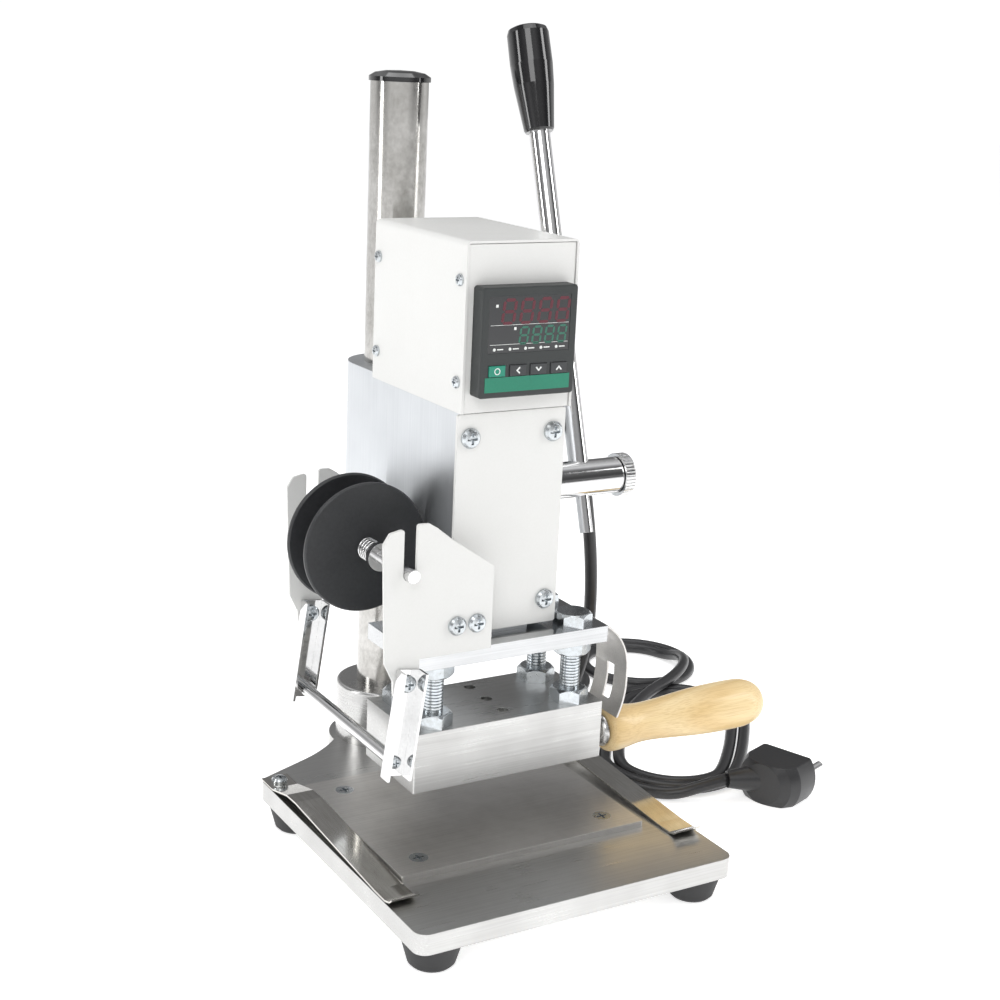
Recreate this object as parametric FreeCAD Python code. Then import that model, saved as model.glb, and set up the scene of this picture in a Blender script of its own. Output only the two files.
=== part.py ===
"""Hot foil stamper: a lever press on a round column, with a heated stamping head, a foil reel,
a temperature controller in a sheet-metal case and a free mains cord.

Frame: millimetres, +Z up, -Y towards the operator, +X to the operator's right.
Origin: the point of the work plate's top face that lies under the centre of the heating block.
"""
import FreeCAD
import Part

import math
import os

V = FreeCAD.Vector

# ---------------------------------------------------------------- driving dimensions (mm)
WORK_TOP = 0.0                 # top of the work plate
WORK_T = 3.0
WORK_W = 128.0
WORK_D = 103.0
WORK_X = -3.0                  # the work plate is set slightly to the left
WORK_Y = 3.5
WORK_PITCH_X = 98.0
WORK_PITCH_Y = 77.0

BASE_W = 163.0
BASE_FRONT = -92.0
BASE_REAR = 75.5               # rear corners of the wide part
BASE_T = 9.6
BASE_CORNER_R = 6.0
FOOT_H = 12.0
FOOT_TOP_R = 13.5
FOOT_BOTTOM_R = 10.5
FOOT_INSET = 13.5

COLUMN_Y = 105.6
COLUMN_R = 14.0
COLUMN_WALL = 3.0
COLUMN_TOP = 331.5
TONGUE_R = 28.0
COLLAR_R = 24.5
COLLAR_H = 30.0
FIT = 0.03                     # radial clearance of fitted round pieces

HEAD_W = 51.4
HEAD_FRONT = -10.9
HEAD_REAR = 61.1
HEAD_BOTTOM = 93.4
HEAD_TOP = 196.0
BOSS_R = 22.0
PANEL_T = 1.5
PANEL_LAP = 2.1                # panel and case stand out past each side of the head by their laps

CASE_LAP = 2.4
CASE_FRONT = -15.8
CASE_REAR = 70.8
CASE_H = 74.6
SHEET = 1.2

BEZEL = 48.0
BEZEL_T = 7.8
BEZEL_Z = 227.8
METER_BODY = 44.6
METER_DEPTH = 62.0

PLATE_W = 101.0                # suspended upper plate
PLATE_D = 48.0
PLATE_T = 7.8
PLATE_TOP = 91.2
BLOCK_W = 100.0                # heating block
BLOCK_D = 48.4
BLOCK_BOTTOM = 25.5
BLOCK_H = 28.2
STUD_OUT = 10.8                # bolt axes, outside the head's sides
STUD_Y = 14.8
STUD_R = 4.7                   # M10
HEX_AF = 16.0
HEX_H = 6.4

MODULE = 1.5
PINION_TEETH = 14
PRESSURE = math.radians(25.0)
BACKLASH = 0.12
PINION_W = 18.0
SHAFT_Y = 9.1
SHAFT_Z = 154.0
SHAFT_R = 6.0
HUB_R = 8.75
HUB_END = 71.5
KNOB_R = 10.4
KNOB_T = 6.0
LEVER_X = 52.0
LEVER_TILT = 18.2              # degrees, leaning back at rest
LEVER_ROD_R = 5.0
LEVER_STUB_R = 3.3
LEVER_STUB = 25.8
LEVER_LENGTH = 215.5
GRIP_LENGTH = 50.0

RAM_W = 28.0
RAM_TOP = 178.0
GUIDE_X = 17.0
GUIDE_Y = 14.0
GUIDE_R = 4.0
GUIDE_TOP = 140.0
GUIDE_BUSH_H = 11.6
SPRING_POCKET_R = 6.5

REEL_GAP = 0.3                 # between the discs' rims and the head
REEL_Z = 130.0
REEL_SHAFT_R = 3.0
REEL_DISC_R = 30.0
REEL_DISC_T = 2.5
REEL_FRONT_Y = 18.0
REEL_REAR_Y = 36.0
REEL_CORE_R = 12.0
BRACKET_T = 1.5
BRACKET_FRONT = -25.9
BRACKET_REAR = 77.1
PIVOT_Z = 80.6
ARM_LENGTH = 36.4              # pivot to guide rod
ARM_TILT = 8.0                 # degrees outwards at rest
ARM_W = 12.0
ARM_FLANGE = 8.0
ARM_T = 1.2
GUIDE_ROD_R = 3.0
BLOCK_GAP = 5.0                # least room between the guide rod and the heating block

DIE_W = 36.0                   # die plate in the block's dovetail
DIE_T = 7.0
HANDLE_Y = -5.0
HANDLE_Z = 29.2
HANDLE_START = 64.0
HANDLE_END = 161.0

CORD_R = 3.25
COIL_TUBE_R = 9.0              # outer section of each coil's bundle of turns
BACK_X = 210.0                 # centre of the small round coil
BACK_Y = 172.0
BACK_R = 32.0
FRONT_X = 165.0                # centre of the long coil
FRONT_Y = 68.0
FRONT_R = 36.0                 # mean radius of its two ends
FRONT_HALF = 32.0              # from its centre to the centre of each end
FRONT_TURN = 49.0              # degrees from +X to its long axis
GLAND_Y = 44.0
GLAND_Z = 175.0

# ---------------------------------------------------------------- worked-out places
BASE_TOP = WORK_TOP - WORK_T
BASE_BOTTOM = BASE_TOP - BASE_T
FLOOR = BASE_BOTTOM - FOOT_H
PLATE_BOTTOM = PLATE_TOP - PLATE_T
BLOCK_TOP = BLOCK_BOTTOM + BLOCK_H
CASE_TOP = HEAD_TOP + CASE_H
COLLAR_TOP = BASE_TOP + COLLAR_H
PITCH_R = MODULE * PINION_TEETH / 2
SLOT_W = 2 * REEL_SHAFT_R + 0.3  # open slots that the reel shaft drops into
RACK_Y = SHAFT_Y - PITCH_R     # pitch line of the rack
HEAD_X = HEAD_W / 2
PANEL_X = HEAD_X + PANEL_LAP
CASE_X = HEAD_X + CASE_LAP
CASE_W = 2 * CASE_X
STUD_X = HEAD_X + STUD_OUT
REEL_X = -HEAD_X - REEL_DISC_R - REEL_GAP
ROD_REACH = ARM_LENGTH * math.sin(math.radians(ARM_TILT))
PIVOT_X = min(REEL_X - 0.4, -BLOCK_W / 2 - GUIDE_ROD_R - BLOCK_GAP + ROD_REACH)

X, Y, Z = V(1, 0, 0), V(0, 1, 0), V(0, 0, 1)


# ---------------------------------------------------------------- helpers
def box(x0, x1, y0, y1, z0, z1):
    return Part.makeBox(x1 - x0, y1 - y0, z1 - z0, V(x0, y0, z0))


def cyl(point, axis, r, length):
    return Part.makeCylinder(r, length, V(*point), axis)


def tube(point, axis, r_out, r_in, length):
    return cyl(point, axis, r_out, length).cut(cyl(point, axis, r_in, length))


def turned(profile, point, axis):
    """Solid of revolution: profile is a list of (radius, distance along the axis)."""
    wire = Part.makePolygon([V(r, 0, t) for r, t in profile] + [V(profile[0][0], 0, profile[0][1])])
    solid = Part.Face(wire).revolve(V(0, 0, 0), Z, 360)
    solid.Placement = FreeCAD.Placement(V(*point), FreeCAD.Rotation(Z, axis))
    return solid


def prism(points, direction):
    """Extrude a closed polygon of (x, y, z) points along a vector."""
    corners = [V(*p) for p in points]
    return Part.Face(Part.makePolygon(corners + corners[:1])).extrude(direction)


def fillet_where(solid, radius, keep):
    """Round the edges whose middle point and direction pass the test."""
    edges = []
    for edge in solid.Edges:
        a, b = edge.Vertexes[0].Point, edge.Vertexes[-1].Point
        if keep((a + b) * 0.5, (b - a)):
            edges.append(edge)
    return solid.makeFillet(radius, edges)


def upright(direction):
    return abs(direction.x) < 1e-6 and abs(direction.y) < 1e-6 and abs(direction.z) > 1e-6


def hexagon(point, axis, across_flats, height):
    r = across_flats / math.sqrt(3)
    turns = [math.radians(60 * k + 30) for k in range(6)]
    corners = [V(r * math.cos(a), r * math.sin(a), 0) for a in turns]
    solid = Part.Face(Part.makePolygon(corners + corners[:1])).extrude(V(0, 0, height))
    chamfer = turned([(0, -1), (r + 1, -1), (r + 1, height - 2.2), (r - 1.6, height), (0, height)],
                     (0, 0, 0), Z)
    solid = solid.common(chamfer)
    solid.Placement = FreeCAD.Placement(V(*point), FreeCAD.Rotation(Z, axis))
    return solid


def pan_screw(point, axis, head_r, head_h, shank_r, length):
    """Cross-recessed pan-head screw: point is under the head, axis points out of the head."""
    head = turned([(0, 0), (head_r, 0), (head_r, head_h * 0.45), (head_r * 0.8, head_h * 0.85),
                   (head_r * 0.4, head_h), (0, head_h)], (0, 0, 0), Z)
    body = head.fuse(cyl((0, 0, -length), Z, shank_r, length))
    arm = head_r * 0.55
    wide = head_r * 0.13
    for ax, ay in ((arm, wide), (wide, arm)):
        body = body.cut(box(-ax, ax, -ay, ay, head_h * 0.4, head_h + 1))
    body.Placement = FreeCAD.Placement(V(*point), FreeCAD.Rotation(Z, axis))
    return body


def flat_screw(point, head_r, shank_r, length):
    """Cross-recessed countersunk screw whose head is flush at point, facing +Z."""
    sink = head_r - shank_r
    body = turned([(0, 0), (head_r, 0), (head_r, -0.3), (shank_r, -0.3 - sink), (shank_r, -length),
                   (0, -length)], (0, 0, 0), Z)
    for ax, ay in ((head_r * 0.6, 0.5), (0.5, head_r * 0.6)):
        body = body.cut(box(-ax, ax, -ay, ay, -1.6, 1))
    body.Placement = FreeCAD.Placement(V(*point), FreeCAD.Rotation())
    return body


def sink_hole(point, head_r, shank_r, length):
    sink = head_r - shank_r
    return turned([(0, 1), (head_r, 1), (head_r, -0.3), (shank_r, -0.3 - sink), (shank_r, -length),
                   (0, -length)], point, Z)


def coil_spring(point, axis, mean_r, wire_r, length, turns):
    pitch = (length - 2 * wire_r) / turns
    helix = Part.makeHelix(pitch, length - 2 * wire_r, mean_r)
    ring = Part.Wire(Part.makeCircle(wire_r, V(mean_r, 0, 0), V(0, 1, 0)))
    spring = Part.Wire(helix).makePipeShell([ring], True, True)
    spring.translate(V(0, 0, wire_r))
    spring.Placement = FreeCAD.Placement(V(*point), FreeCAD.Rotation(Z, axis)).multiply(spring.Placement)
    return spring


def grid(cx, cy, pitch_x, pitch_y):
    return [(cx + sx * pitch_x / 2, cy + sy * pitch_y / 2) for sx in (-1, 1) for sy in (-1, 1)]


os.makedirs("parts", exist_ok=True)
NODES = {}


def keep(name, *solids):
    NODES[name] = solids[0] if len(solids) == 1 else Part.makeCompound(list(solids))


# ---------------------------------------------------------------- base
WORK_SCREWS = grid(WORK_X, WORK_Y, WORK_PITCH_X, WORK_PITCH_Y)
CLIP_W = 13.6
CLIP_X = BASE_W / 2 - 0.2 - CLIP_W / 2
CLIP_SCREW_Y = 68.5
CLIP_T = 0.9


def base_plate():
    hw = BASE_W / 2
    shoulder = V(-52.0, BASE_REAR + 13.3, 0)
    swoop = V(-38.0, COLUMN_Y - 8.6, 0)
    waist = V(-TONGUE_R, COLUMN_Y, 0)

    def mirror(p):
        return V(-p.x, p.y, p.z)

    edges = [Part.LineSegment(V(hw, BASE_REAR, 0), V(hw, BASE_FRONT, 0)),
             Part.LineSegment(V(hw, BASE_FRONT, 0), V(-hw, BASE_FRONT, 0)),
             Part.LineSegment(V(-hw, BASE_FRONT, 0), V(-hw, BASE_REAR, 0)),
             Part.LineSegment(V(-hw, BASE_REAR, 0), shoulder),
             Part.Arc(shoulder, swoop, waist),
             Part.Arc(waist, V(0, COLUMN_Y + TONGUE_R, 0), mirror(waist)),
             Part.Arc(mirror(waist), mirror(swoop), mirror(shoulder)),
             Part.LineSegment(mirror(shoulder), V(hw, BASE_REAR, 0))]
    wire = Part.Wire([e.toShape() for e in edges])
    solid = Part.Face(wire).extrude(V(0, 0, BASE_T))
    solid.translate(V(0, 0, BASE_BOTTOM))
    solid = fillet_where(solid, BASE_CORNER_R,
                         lambda m, d: upright(d) and abs(abs(m.x) - hw) < 0.01)
    for x, y in WORK_SCREWS:
        solid = solid.cut(cyl((x, y, BASE_BOTTOM + 2), Z, 2.0, BASE_T))
    for side in (-1, 1):
        solid = solid.cut(cyl((side * CLIP_X, CLIP_SCREW_Y, BASE_TOP - 7), Z, 2.0, 8))
    return solid


def work_plate():
    solid = box(WORK_X - WORK_W / 2, WORK_X + WORK_W / 2, WORK_Y - WORK_D / 2, WORK_Y + WORK_D / 2,
                BASE_TOP, WORK_TOP)
    solid = fillet_where(solid, 1.0, lambda m, d: upright(d))
    for x, y in WORK_SCREWS:
        solid = solid.cut(sink_hole((x, y, WORK_TOP), 4.4, 2.0, WORK_T + 1))
    return solid


def leaf_clip(side):
    """Bowed spring strip: flat at its screw, arched, touching near the front, tip curled up."""
    path = [(75.0, 0.0), (62.0, 0.0), (44.0, 4.4), (34.0, 4.8), (-50.0, 0.3), (-60.0, 0.3),
            (-64.0, 1.5), (-66.0, 3.2)]      # y and height of the lower face
    low = [(side * CLIP_X - CLIP_W / 2, y, BASE_TOP + z) for y, z in path]
    high = [(x, y, z + CLIP_T) for x, y, z in reversed(low)]
    solid = prism(low + high, V(CLIP_W, 0, 0))
    hole = cyl((side * CLIP_X, CLIP_SCREW_Y, BASE_TOP - 1), Z, 2.1, 4)
    return solid.cut(hole)


keep("base_plate", base_plate())
FEET = [(sx * (BASE_W / 2 - FOOT_INSET), y) for sx in (-1, 1)
        for y in (BASE_FRONT + FOOT_INSET, BASE_REAR - FOOT_INSET)]
keep("rubber_feet", *[turned([(0, 0), (FOOT_BOTTOM_R - 1.5, 0), (FOOT_BOTTOM_R, 1.5),
                              (FOOT_TOP_R, FOOT_H), (0, FOOT_H)], (x, y, FLOOR), Z)
                      for x, y in FEET])
keep("work_plate", work_plate())
stand_screws = [flat_screw((x, y, WORK_TOP), 4.4, 2.0, 8.0) for x, y in WORK_SCREWS]
stand_screws += [pan_screw((s * CLIP_X, CLIP_SCREW_Y, BASE_TOP + CLIP_T), Z, 3.9, 2.4, 2.0, 7.0)
                 for s in (-1, 1)]
keep("stand_screws", *stand_screws)
keep("leaf_clips", leaf_clip(-1), leaf_clip(1))
collar = tube((0, COLUMN_Y, BASE_TOP), Z, COLLAR_R, COLUMN_R + FIT, COLLAR_H)
collar = fillet_where(collar, 1.5, lambda m, d: abs(m.z - COLLAR_TOP) < 0.01
                      and math.hypot(m.x, m.y - COLUMN_Y) > COLUMN_R + 1)
keep("column_collar", collar)
keep("column", tube((0, COLUMN_Y, BASE_TOP), Z, COLUMN_R, COLUMN_R - COLUMN_WALL,
                    COLUMN_TOP - BASE_TOP))
keep("column_cap", turned([(0, -12), (COLUMN_R - COLUMN_WALL - FIT, -12),
                           (COLUMN_R - COLUMN_WALL - FIT, 0), (COLUMN_R + 0.9, 0),
                           (COLUMN_R + 0.9, 2.2), (COLUMN_R - 2, 4.0), (COLUMN_R - 7, 4.9), (0, 5.2)],
                          (0, COLUMN_Y, COLUMN_TOP), Z))

# ---------------------------------------------------------------- head casting
BUSH_R = 8.5
PINION_CLEAR = 0.5
BLIND_WALL = 2.5               # left side of the head, which closes the shaft's bore
ROD_POCKET_TOP = GUIDE_TOP + 3.0
PANEL_SCREWS = [(sx * (PANEL_X - 6.5), z) for sx in (-1, 1) for z in (105.0, 184.3)]
CLAMP_SCREW_Y = COLUMN_Y + 17.6
CLAMP_SCREW_Z = (118.0, 172.0)
RAIL_Z0 = 98.4
RAIL_Z1 = 108.6
RAIL_LEFT = -HEAD_X - 12.3
RAIL_SCREWS_Y = (5.0, 45.0)


def head_housing():
    body = box(-HEAD_X, HEAD_X, HEAD_FRONT, HEAD_REAR, HEAD_BOTTOM, HEAD_TOP)
    body = fillet_where(body, 3.0, lambda m, d: upright(d) and m.y > 0)
    boss = box(-BOSS_R, BOSS_R, HEAD_REAR - 5, COLUMN_Y, HEAD_BOTTOM, HEAD_TOP)
    boss = boss.fuse(cyl((0, COLUMN_Y, HEAD_BOTTOM), Z, BOSS_R, HEAD_TOP - HEAD_BOTTOM))
    body = body.fuse(boss).removeSplitter()
    tall = HEAD_TOP - HEAD_BOTTOM + 2
    body = body.cut(cyl((0, COLUMN_Y, HEAD_BOTTOM - 1), Z, COLUMN_R + FIT, tall))
    body = body.cut(box(-1, 1, COLUMN_Y + COLUMN_R - 2, COLUMN_Y + BOSS_R + 1,
                        HEAD_BOTTOM - 1, HEAD_TOP + 1))
    for z in CLAMP_SCREW_Z:
        body = body.cut(cyl((-BOSS_R, CLAMP_SCREW_Y, z), X, 2.5, 2 * BOSS_R))
        body = body.cut(cyl((7.0, CLAMP_SCREW_Y, z), X, 4.6, BOSS_R))
    # channel of the ram, open at the front under the panel
    body = body.cut(box(-RAM_W / 2 - 0.06, RAM_W / 2 + 0.06, HEAD_FRONT - 1, RACK_Y + MODULE + 0.4,
                        HEAD_BOTTOM - 1, RAM_TOP + 3))
    tip = PITCH_R + MODULE + PINION_CLEAR
    body = body.cut(cyl((-PINION_W / 2 - 0.4, SHAFT_Y, SHAFT_Z), X, tip, PINION_W + 0.8))
    body = body.cut(cyl((-HEAD_X + BLIND_WALL, SHAFT_Y, SHAFT_Z), X, BUSH_R, HEAD_W))
    for side in (-1, 1):
        body = body.cut(cyl((side * GUIDE_X, GUIDE_Y, HEAD_BOTTOM - 1), Z, SPRING_POCKET_R,
                            ROD_POCKET_TOP - HEAD_BOTTOM + 1))
    for x, z in PANEL_SCREWS:
        body = body.cut(cyl((x, HEAD_FRONT - 1, z), Y, 2.0, 11))
    for y in RAIL_SCREWS_Y:
        body = body.cut(cyl((-HEAD_X - 1, y, (RAIL_Z0 + RAIL_Z1) / 2), X, 2.0, 7.5))
    return body


keep("head_housing", head_housing())
head_screws = [
    cyl((-9.0, CLAMP_SCREW_Y, z), X, 2.5, 16.2).fuse(
        cyl((7.2, CLAMP_SCREW_Y, z), X, 4.4, 5.0)).cut(
        hexagon((9.4, CLAMP_SCREW_Y, z), X, 4.0, 5.0)) for z in CLAMP_SCREW_Z]
BUSH_IN = PINION_W / 2 + 0.6    # inner end of both shaft bushes
bushes = [tube((x0, SHAFT_Y, SHAFT_Z), X, BUSH_R, SHAFT_R + FIT, x1 - x0)
          for x0, x1 in ((-HEAD_X + BLIND_WALL, -BUSH_IN), (BUSH_IN, HEAD_X))]
bushes += [tube((s * GUIDE_X, GUIDE_Y, HEAD_BOTTOM), Z, SPRING_POCKET_R, GUIDE_R + FIT, GUIDE_BUSH_H)
           for s in (-1, 1)]
keep("head_bushes", *bushes)

panel = box(-PANEL_X, PANEL_X, HEAD_FRONT - PANEL_T, HEAD_FRONT, HEAD_BOTTOM, HEAD_TOP - 1.0)
panel = fillet_where(panel, 1.2, lambda m, d: abs(d.y) > 1 and abs(d.x) < 1e-6 and abs(d.z) < 1e-6)
for px, pz in PANEL_SCREWS:
    panel = panel.cut(cyl((px, HEAD_FRONT - PANEL_T - 1, pz), Y, 2.1, PANEL_T + 2))
keep("front_panel", panel)
head_screws += [pan_screw((x, HEAD_FRONT - PANEL_T, z), -Y, 4.6, 2.7, 2.0, 11.0)
                for x, z in PANEL_SCREWS]

# ---------------------------------------------------------------- control case
CASE_SCREWS = [(y, z) for y in (-10.8, 66.6) for z in (209.4, 253.6)]
PLATE_FRONT = CASE_FRONT + 0.5                 # front face of the recessed case front
SWITCH_X = -12.0
SWITCH_Z = 248.0
SWITCH_W = 15.0
SWITCH_H = 21.0


def control_case():
    solid = box(-CASE_X, CASE_X, CASE_FRONT, CASE_REAR, HEAD_TOP, CASE_TOP)
    solid = fillet_where(solid, 2.4, lambda m, d: abs(d.y) > 1 and abs(d.x) < 1e-6
                         and abs(m.z - CASE_TOP) < 0.01)
    solid = solid.cut(box(-CASE_X + SHEET, CASE_X - SHEET, CASE_FRONT - 1, CASE_REAR - SHEET,
                          HEAD_TOP - 1, CASE_TOP - SHEET))
    solid = solid.cut(box(SWITCH_X - SWITCH_W / 2 + 1.2, SWITCH_X + SWITCH_W / 2 - 1.2,
                          CASE_REAR - 3, CASE_REAR + 1,
                          SWITCH_Z - SWITCH_H / 2 + 1.2, SWITCH_Z + SWITCH_H / 2 - 1.2))
    for y, z in CASE_SCREWS:
        solid = solid.cut(cyl((-CASE_X - 1, y, z), X, 1.5, CASE_W + 2))
    return solid


def case_front():
    """Recessed front with a floor flange and two side flanges that take the case screws."""
    w = CASE_X - SHEET - 0.3
    z0, z1 = HEAD_TOP + 0.1, CASE_TOP - SHEET - 0.3
    solid = box(-w, w, PLATE_FRONT, PLATE_FRONT + SHEET, z0, z1)
    solid = solid.fuse(box(-w, w, PLATE_FRONT, CASE_REAR - SHEET - 0.3, z0, z0 + SHEET))
    for side in (-1, 1):
        a, b = sorted((side * w, side * (w - SHEET)))
        for y0, y1 in ((PLATE_FRONT, -5.0), (60.0, CASE_REAR - SHEET - 0.3)):
            solid = solid.fuse(box(a, b, y0, y1, z0, z1 - 4))
    half = METER_BODY / 2 + 0.2
    solid = solid.cut(box(-half, half, PLATE_FRONT - 1, PLATE_FRONT + SHEET + 0.01,
                          BEZEL_Z - half, BEZEL_Z + half))
    for y, z in CASE_SCREWS:
        solid = solid.cut(cyl((-CASE_X, y, z), X, 1.5, CASE_W))
    return solid.removeSplitter()


def screw_for_case(side, y, z):
    direction = V(side, 0, 0)
    return pan_screw((side * CASE_X, y, z), direction, 2.7, 1.7, 1.48, 4.0)


keep("control_case", control_case())
keep("case_front", case_front())
head_screws += [screw_for_case(side, y, z) for side in (-1, 1) for y, z in CASE_SCREWS]
keep("head_screws", *head_screws)

# ---------------------------------------------------------------- temperature controller
BEZEL_FRONT = PLATE_FRONT - BEZEL_T
KEY_W = 8.2
KEY_H = 4.8
KEY_Z = BEZEL_Z - 12.2
KEY_XS = (-15.6, -5.2, 5.2, 15.6)
KEY_NAMES = ("key_set", "key_shift", "key_down", "key_up")
KEY_PROUD = 0.5
WINDOW = (-20.5, 20.5, BEZEL_Z - 4.5, BEZEL_Z + 20.0)


def bezel():
    h = BEZEL / 2
    solid = box(-h, h, BEZEL_FRONT, PLATE_FRONT, BEZEL_Z - h, BEZEL_Z + h)
    solid = fillet_where(solid, 1.6, lambda m, d: abs(d.y) > 1 and abs(d.x) < 1e-6 and abs(d.z) < 1e-6)
    solid = fillet_where(solid, 0.8, lambda m, d: abs(m.y - BEZEL_FRONT) < 0.01 and d.Length > 3)
    x0, x1, z0, z1 = WINDOW
    solid = solid.cut(box(x0, x1, BEZEL_FRONT - 1, BEZEL_FRONT + 1.0, z0, z1))
    for x in KEY_XS:
        solid = solid.cut(box(x - KEY_W / 2 - 0.15, x + KEY_W / 2 + 0.15, BEZEL_FRONT - 1,
                              BEZEL_FRONT + 2.2, KEY_Z - KEY_H / 2 - 0.15, KEY_Z + KEY_H / 2 + 0.15))
    return solid


keep("controller_bezel", bezel())
half_body = METER_BODY / 2
keep("controller_body", box(-half_body, half_body, PLATE_FRONT, PLATE_FRONT + METER_DEPTH,
                            BEZEL_Z - half_body, BEZEL_Z + half_body))
keep("controller_window", box(WINDOW[0] + 0.05, WINDOW[1] - 0.05, BEZEL_FRONT + 0.2,
                              BEZEL_FRONT + 1.0, WINDOW[2] + 0.05, WINDOW[3] - 0.05))
for key_name, key_x in zip(KEY_NAMES, KEY_XS):
    key = box(key_x - KEY_W / 2, key_x + KEY_W / 2, BEZEL_FRONT - KEY_PROUD, BEZEL_FRONT + 1.2,
              KEY_Z - KEY_H / 2, KEY_Z + KEY_H / 2)
    keep(key_name, fillet_where(key, 0.35, lambda m, d: abs(m.y - BEZEL_FRONT + KEY_PROUD) < 0.01))

# ---------------------------------------------------------------- power switch and gland
frame_w, frame_h = SWITCH_W / 2, SWITCH_H / 2
switch_frame = box(SWITCH_X - frame_w, SWITCH_X + frame_w, CASE_REAR, CASE_REAR + 2.0,
                   SWITCH_Z - frame_h, SWITCH_Z + frame_h)
switch_frame = switch_frame.fuse(box(
    SWITCH_X - frame_w + 1.2, SWITCH_X + frame_w - 1.2, CASE_REAR - 6.0, CASE_REAR,
    SWITCH_Z - frame_h + 1.2, SWITCH_Z + frame_h - 1.2))
ROCKER_W = 10.0
ROCKER_H = 16.0
switch_frame = switch_frame.cut(box(
    SWITCH_X - ROCKER_W / 2 - 0.3, SWITCH_X + ROCKER_W / 2 + 0.3, CASE_REAR - 4.5, CASE_REAR + 3,
    SWITCH_Z - ROCKER_H / 2 - 0.4, SWITCH_Z + ROCKER_H / 2 + 0.4))
keep("switch_frame", switch_frame.removeSplitter())
ROCKER_Y = CASE_REAR + 0.5
rocker = prism([(0, 3.0, 8.0), (0, 1.2, 0.0), (0, 3.0, -8.0), (0, -1.0, -8.0), (0, -2.2, 0.0),
                (0, -1.0, 8.0)], V(ROCKER_W, 0, 0))
rocker.translate(V(SWITCH_X - ROCKER_W / 2, ROCKER_Y, SWITCH_Z))
rocker.rotate(V(SWITCH_X, ROCKER_Y, SWITCH_Z), X, 7.0)
keep("switch_rocker", rocker)

GLAND_FLANGE = 3.0
GLAND_NOSE = 18.0
GLAND_TIP = HEAD_X + GLAND_FLANGE + GLAND_NOSE
keep("cable_gland", turned([(CORD_R + FIT, 0), (8.0, 0), (8.0, GLAND_FLANGE), (6.2, GLAND_FLANGE),
                            (4.4, GLAND_FLANGE + GLAND_NOSE), (CORD_R + FIT, GLAND_FLANGE + GLAND_NOSE)],
                           (HEAD_X, GLAND_Y, GLAND_Z), X))

# ---------------------------------------------------------------- foil reel carrier
FRONT_SCREW_XS = (-HEAD_X - 6.3, -HEAD_X + 3.7)
REAR_SCREW_XS = (-HEAD_X - 8.8, -HEAD_X - 1.3)
RAIL_SCREW_Z = (RAIL_Z0 + RAIL_Z1) / 2


def reel_rail():
    """C-shaped bar that hugs the left side of the head and carries both reel brackets."""
    y0, y1 = BRACKET_FRONT + BRACKET_T, BRACKET_REAR - BRACKET_T
    solid = box(RAIL_LEFT, -PANEL_X, y0, y1, RAIL_Z0, RAIL_Z1)
    solid = solid.fuse(box(-PANEL_X, -HEAD_X, HEAD_FRONT, HEAD_REAR, RAIL_Z0, RAIL_Z1))
    solid = solid.cut(cyl((REEL_X, REEL_FRONT_Y - 3, REEL_Z), Y, REEL_DISC_R + 1,
                          REEL_REAR_Y - REEL_FRONT_Y + 6))
    solid = solid.fuse(box(RAIL_LEFT, -HEAD_X + 9.2, y0, HEAD_FRONT - PANEL_T, RAIL_Z0, RAIL_Z1))
    solid = solid.fuse(box(RAIL_LEFT, -BOSS_R - 0.2, HEAD_REAR + 0.2, y1, RAIL_Z0, RAIL_Z1))
    panel_x, panel_z = PANEL_SCREWS[0]
    solid = solid.cut(cyl((panel_x, HEAD_FRONT - PANEL_T - 3.2, panel_z), Y, 5.1, 4))
    for x in FRONT_SCREW_XS:
        solid = solid.cut(cyl((x, y0 - 1, RAIL_SCREW_Z), Y, 2.0, 9))
    for x in REAR_SCREW_XS:
        solid = solid.cut(cyl((x, y1 - 8, RAIL_SCREW_Z), Y, 2.0, 9))
    for y in RAIL_SCREWS_Y:
        solid = solid.cut(cyl((RAIL_LEFT - 1, y, RAIL_SCREW_Z), X, 2.0, 14))
    return solid.removeSplitter()


def reel_bracket(y_front, right, screw_xs):
    """White plate with an open slot for the reel shaft and a tab for the guide arm."""
    left = min(REEL_X - 13.0, PIVOT_X - 9.0)
    bottom = 90.5
    slot_l, slot_r = REEL_X - SLOT_W / 2, REEL_X + SLOT_W / 2
    outline = [(right, bottom), (right, 129.0), (REEL_X + 20.2, 143.6), (REEL_X + 12.6, 149.6),
               (REEL_X + 9.0, 151.8), (slot_r, 152.0), (slot_r, REEL_Z), (slot_l, REEL_Z), (slot_l, 150.6),
               (REEL_X - 10.0, 149.2), (left, 144.5), (left + 2.0, bottom), (PIVOT_X - 6.4, 82.0),
               (PIVOT_X - 6.0, PIVOT_Z - 5.5), (PIVOT_X + 6.0, PIVOT_Z - 5.5), (PIVOT_X + 6.4, bottom)]
    solid = prism([(x, y_front, z) for x, z in outline], V(0, BRACKET_T, 0))
    solid = solid.cut(cyl((REEL_X, y_front - 1, REEL_Z), Y, SLOT_W / 2, BRACKET_T + 2))
    rounded = ((slot_r, 152.0), (slot_l, 150.6), (REEL_X - 10.0, 149.2), (REEL_X + 9.0, 151.8))
    solid = fillet_where(solid, 1.3, lambda m, d: abs(d.y) > 1 and any(
        math.hypot(m.x - x, m.z - z) < 0.1 for x, z in rounded))
    for x in screw_xs:
        solid = solid.cut(cyl((x, y_front - 1, RAIL_SCREW_Z), Y, 2.1, BRACKET_T + 2))
    return solid.cut(cyl((PIVOT_X, y_front - 1, PIVOT_Z), Y, 2.1, BRACKET_T + 2))


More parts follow.
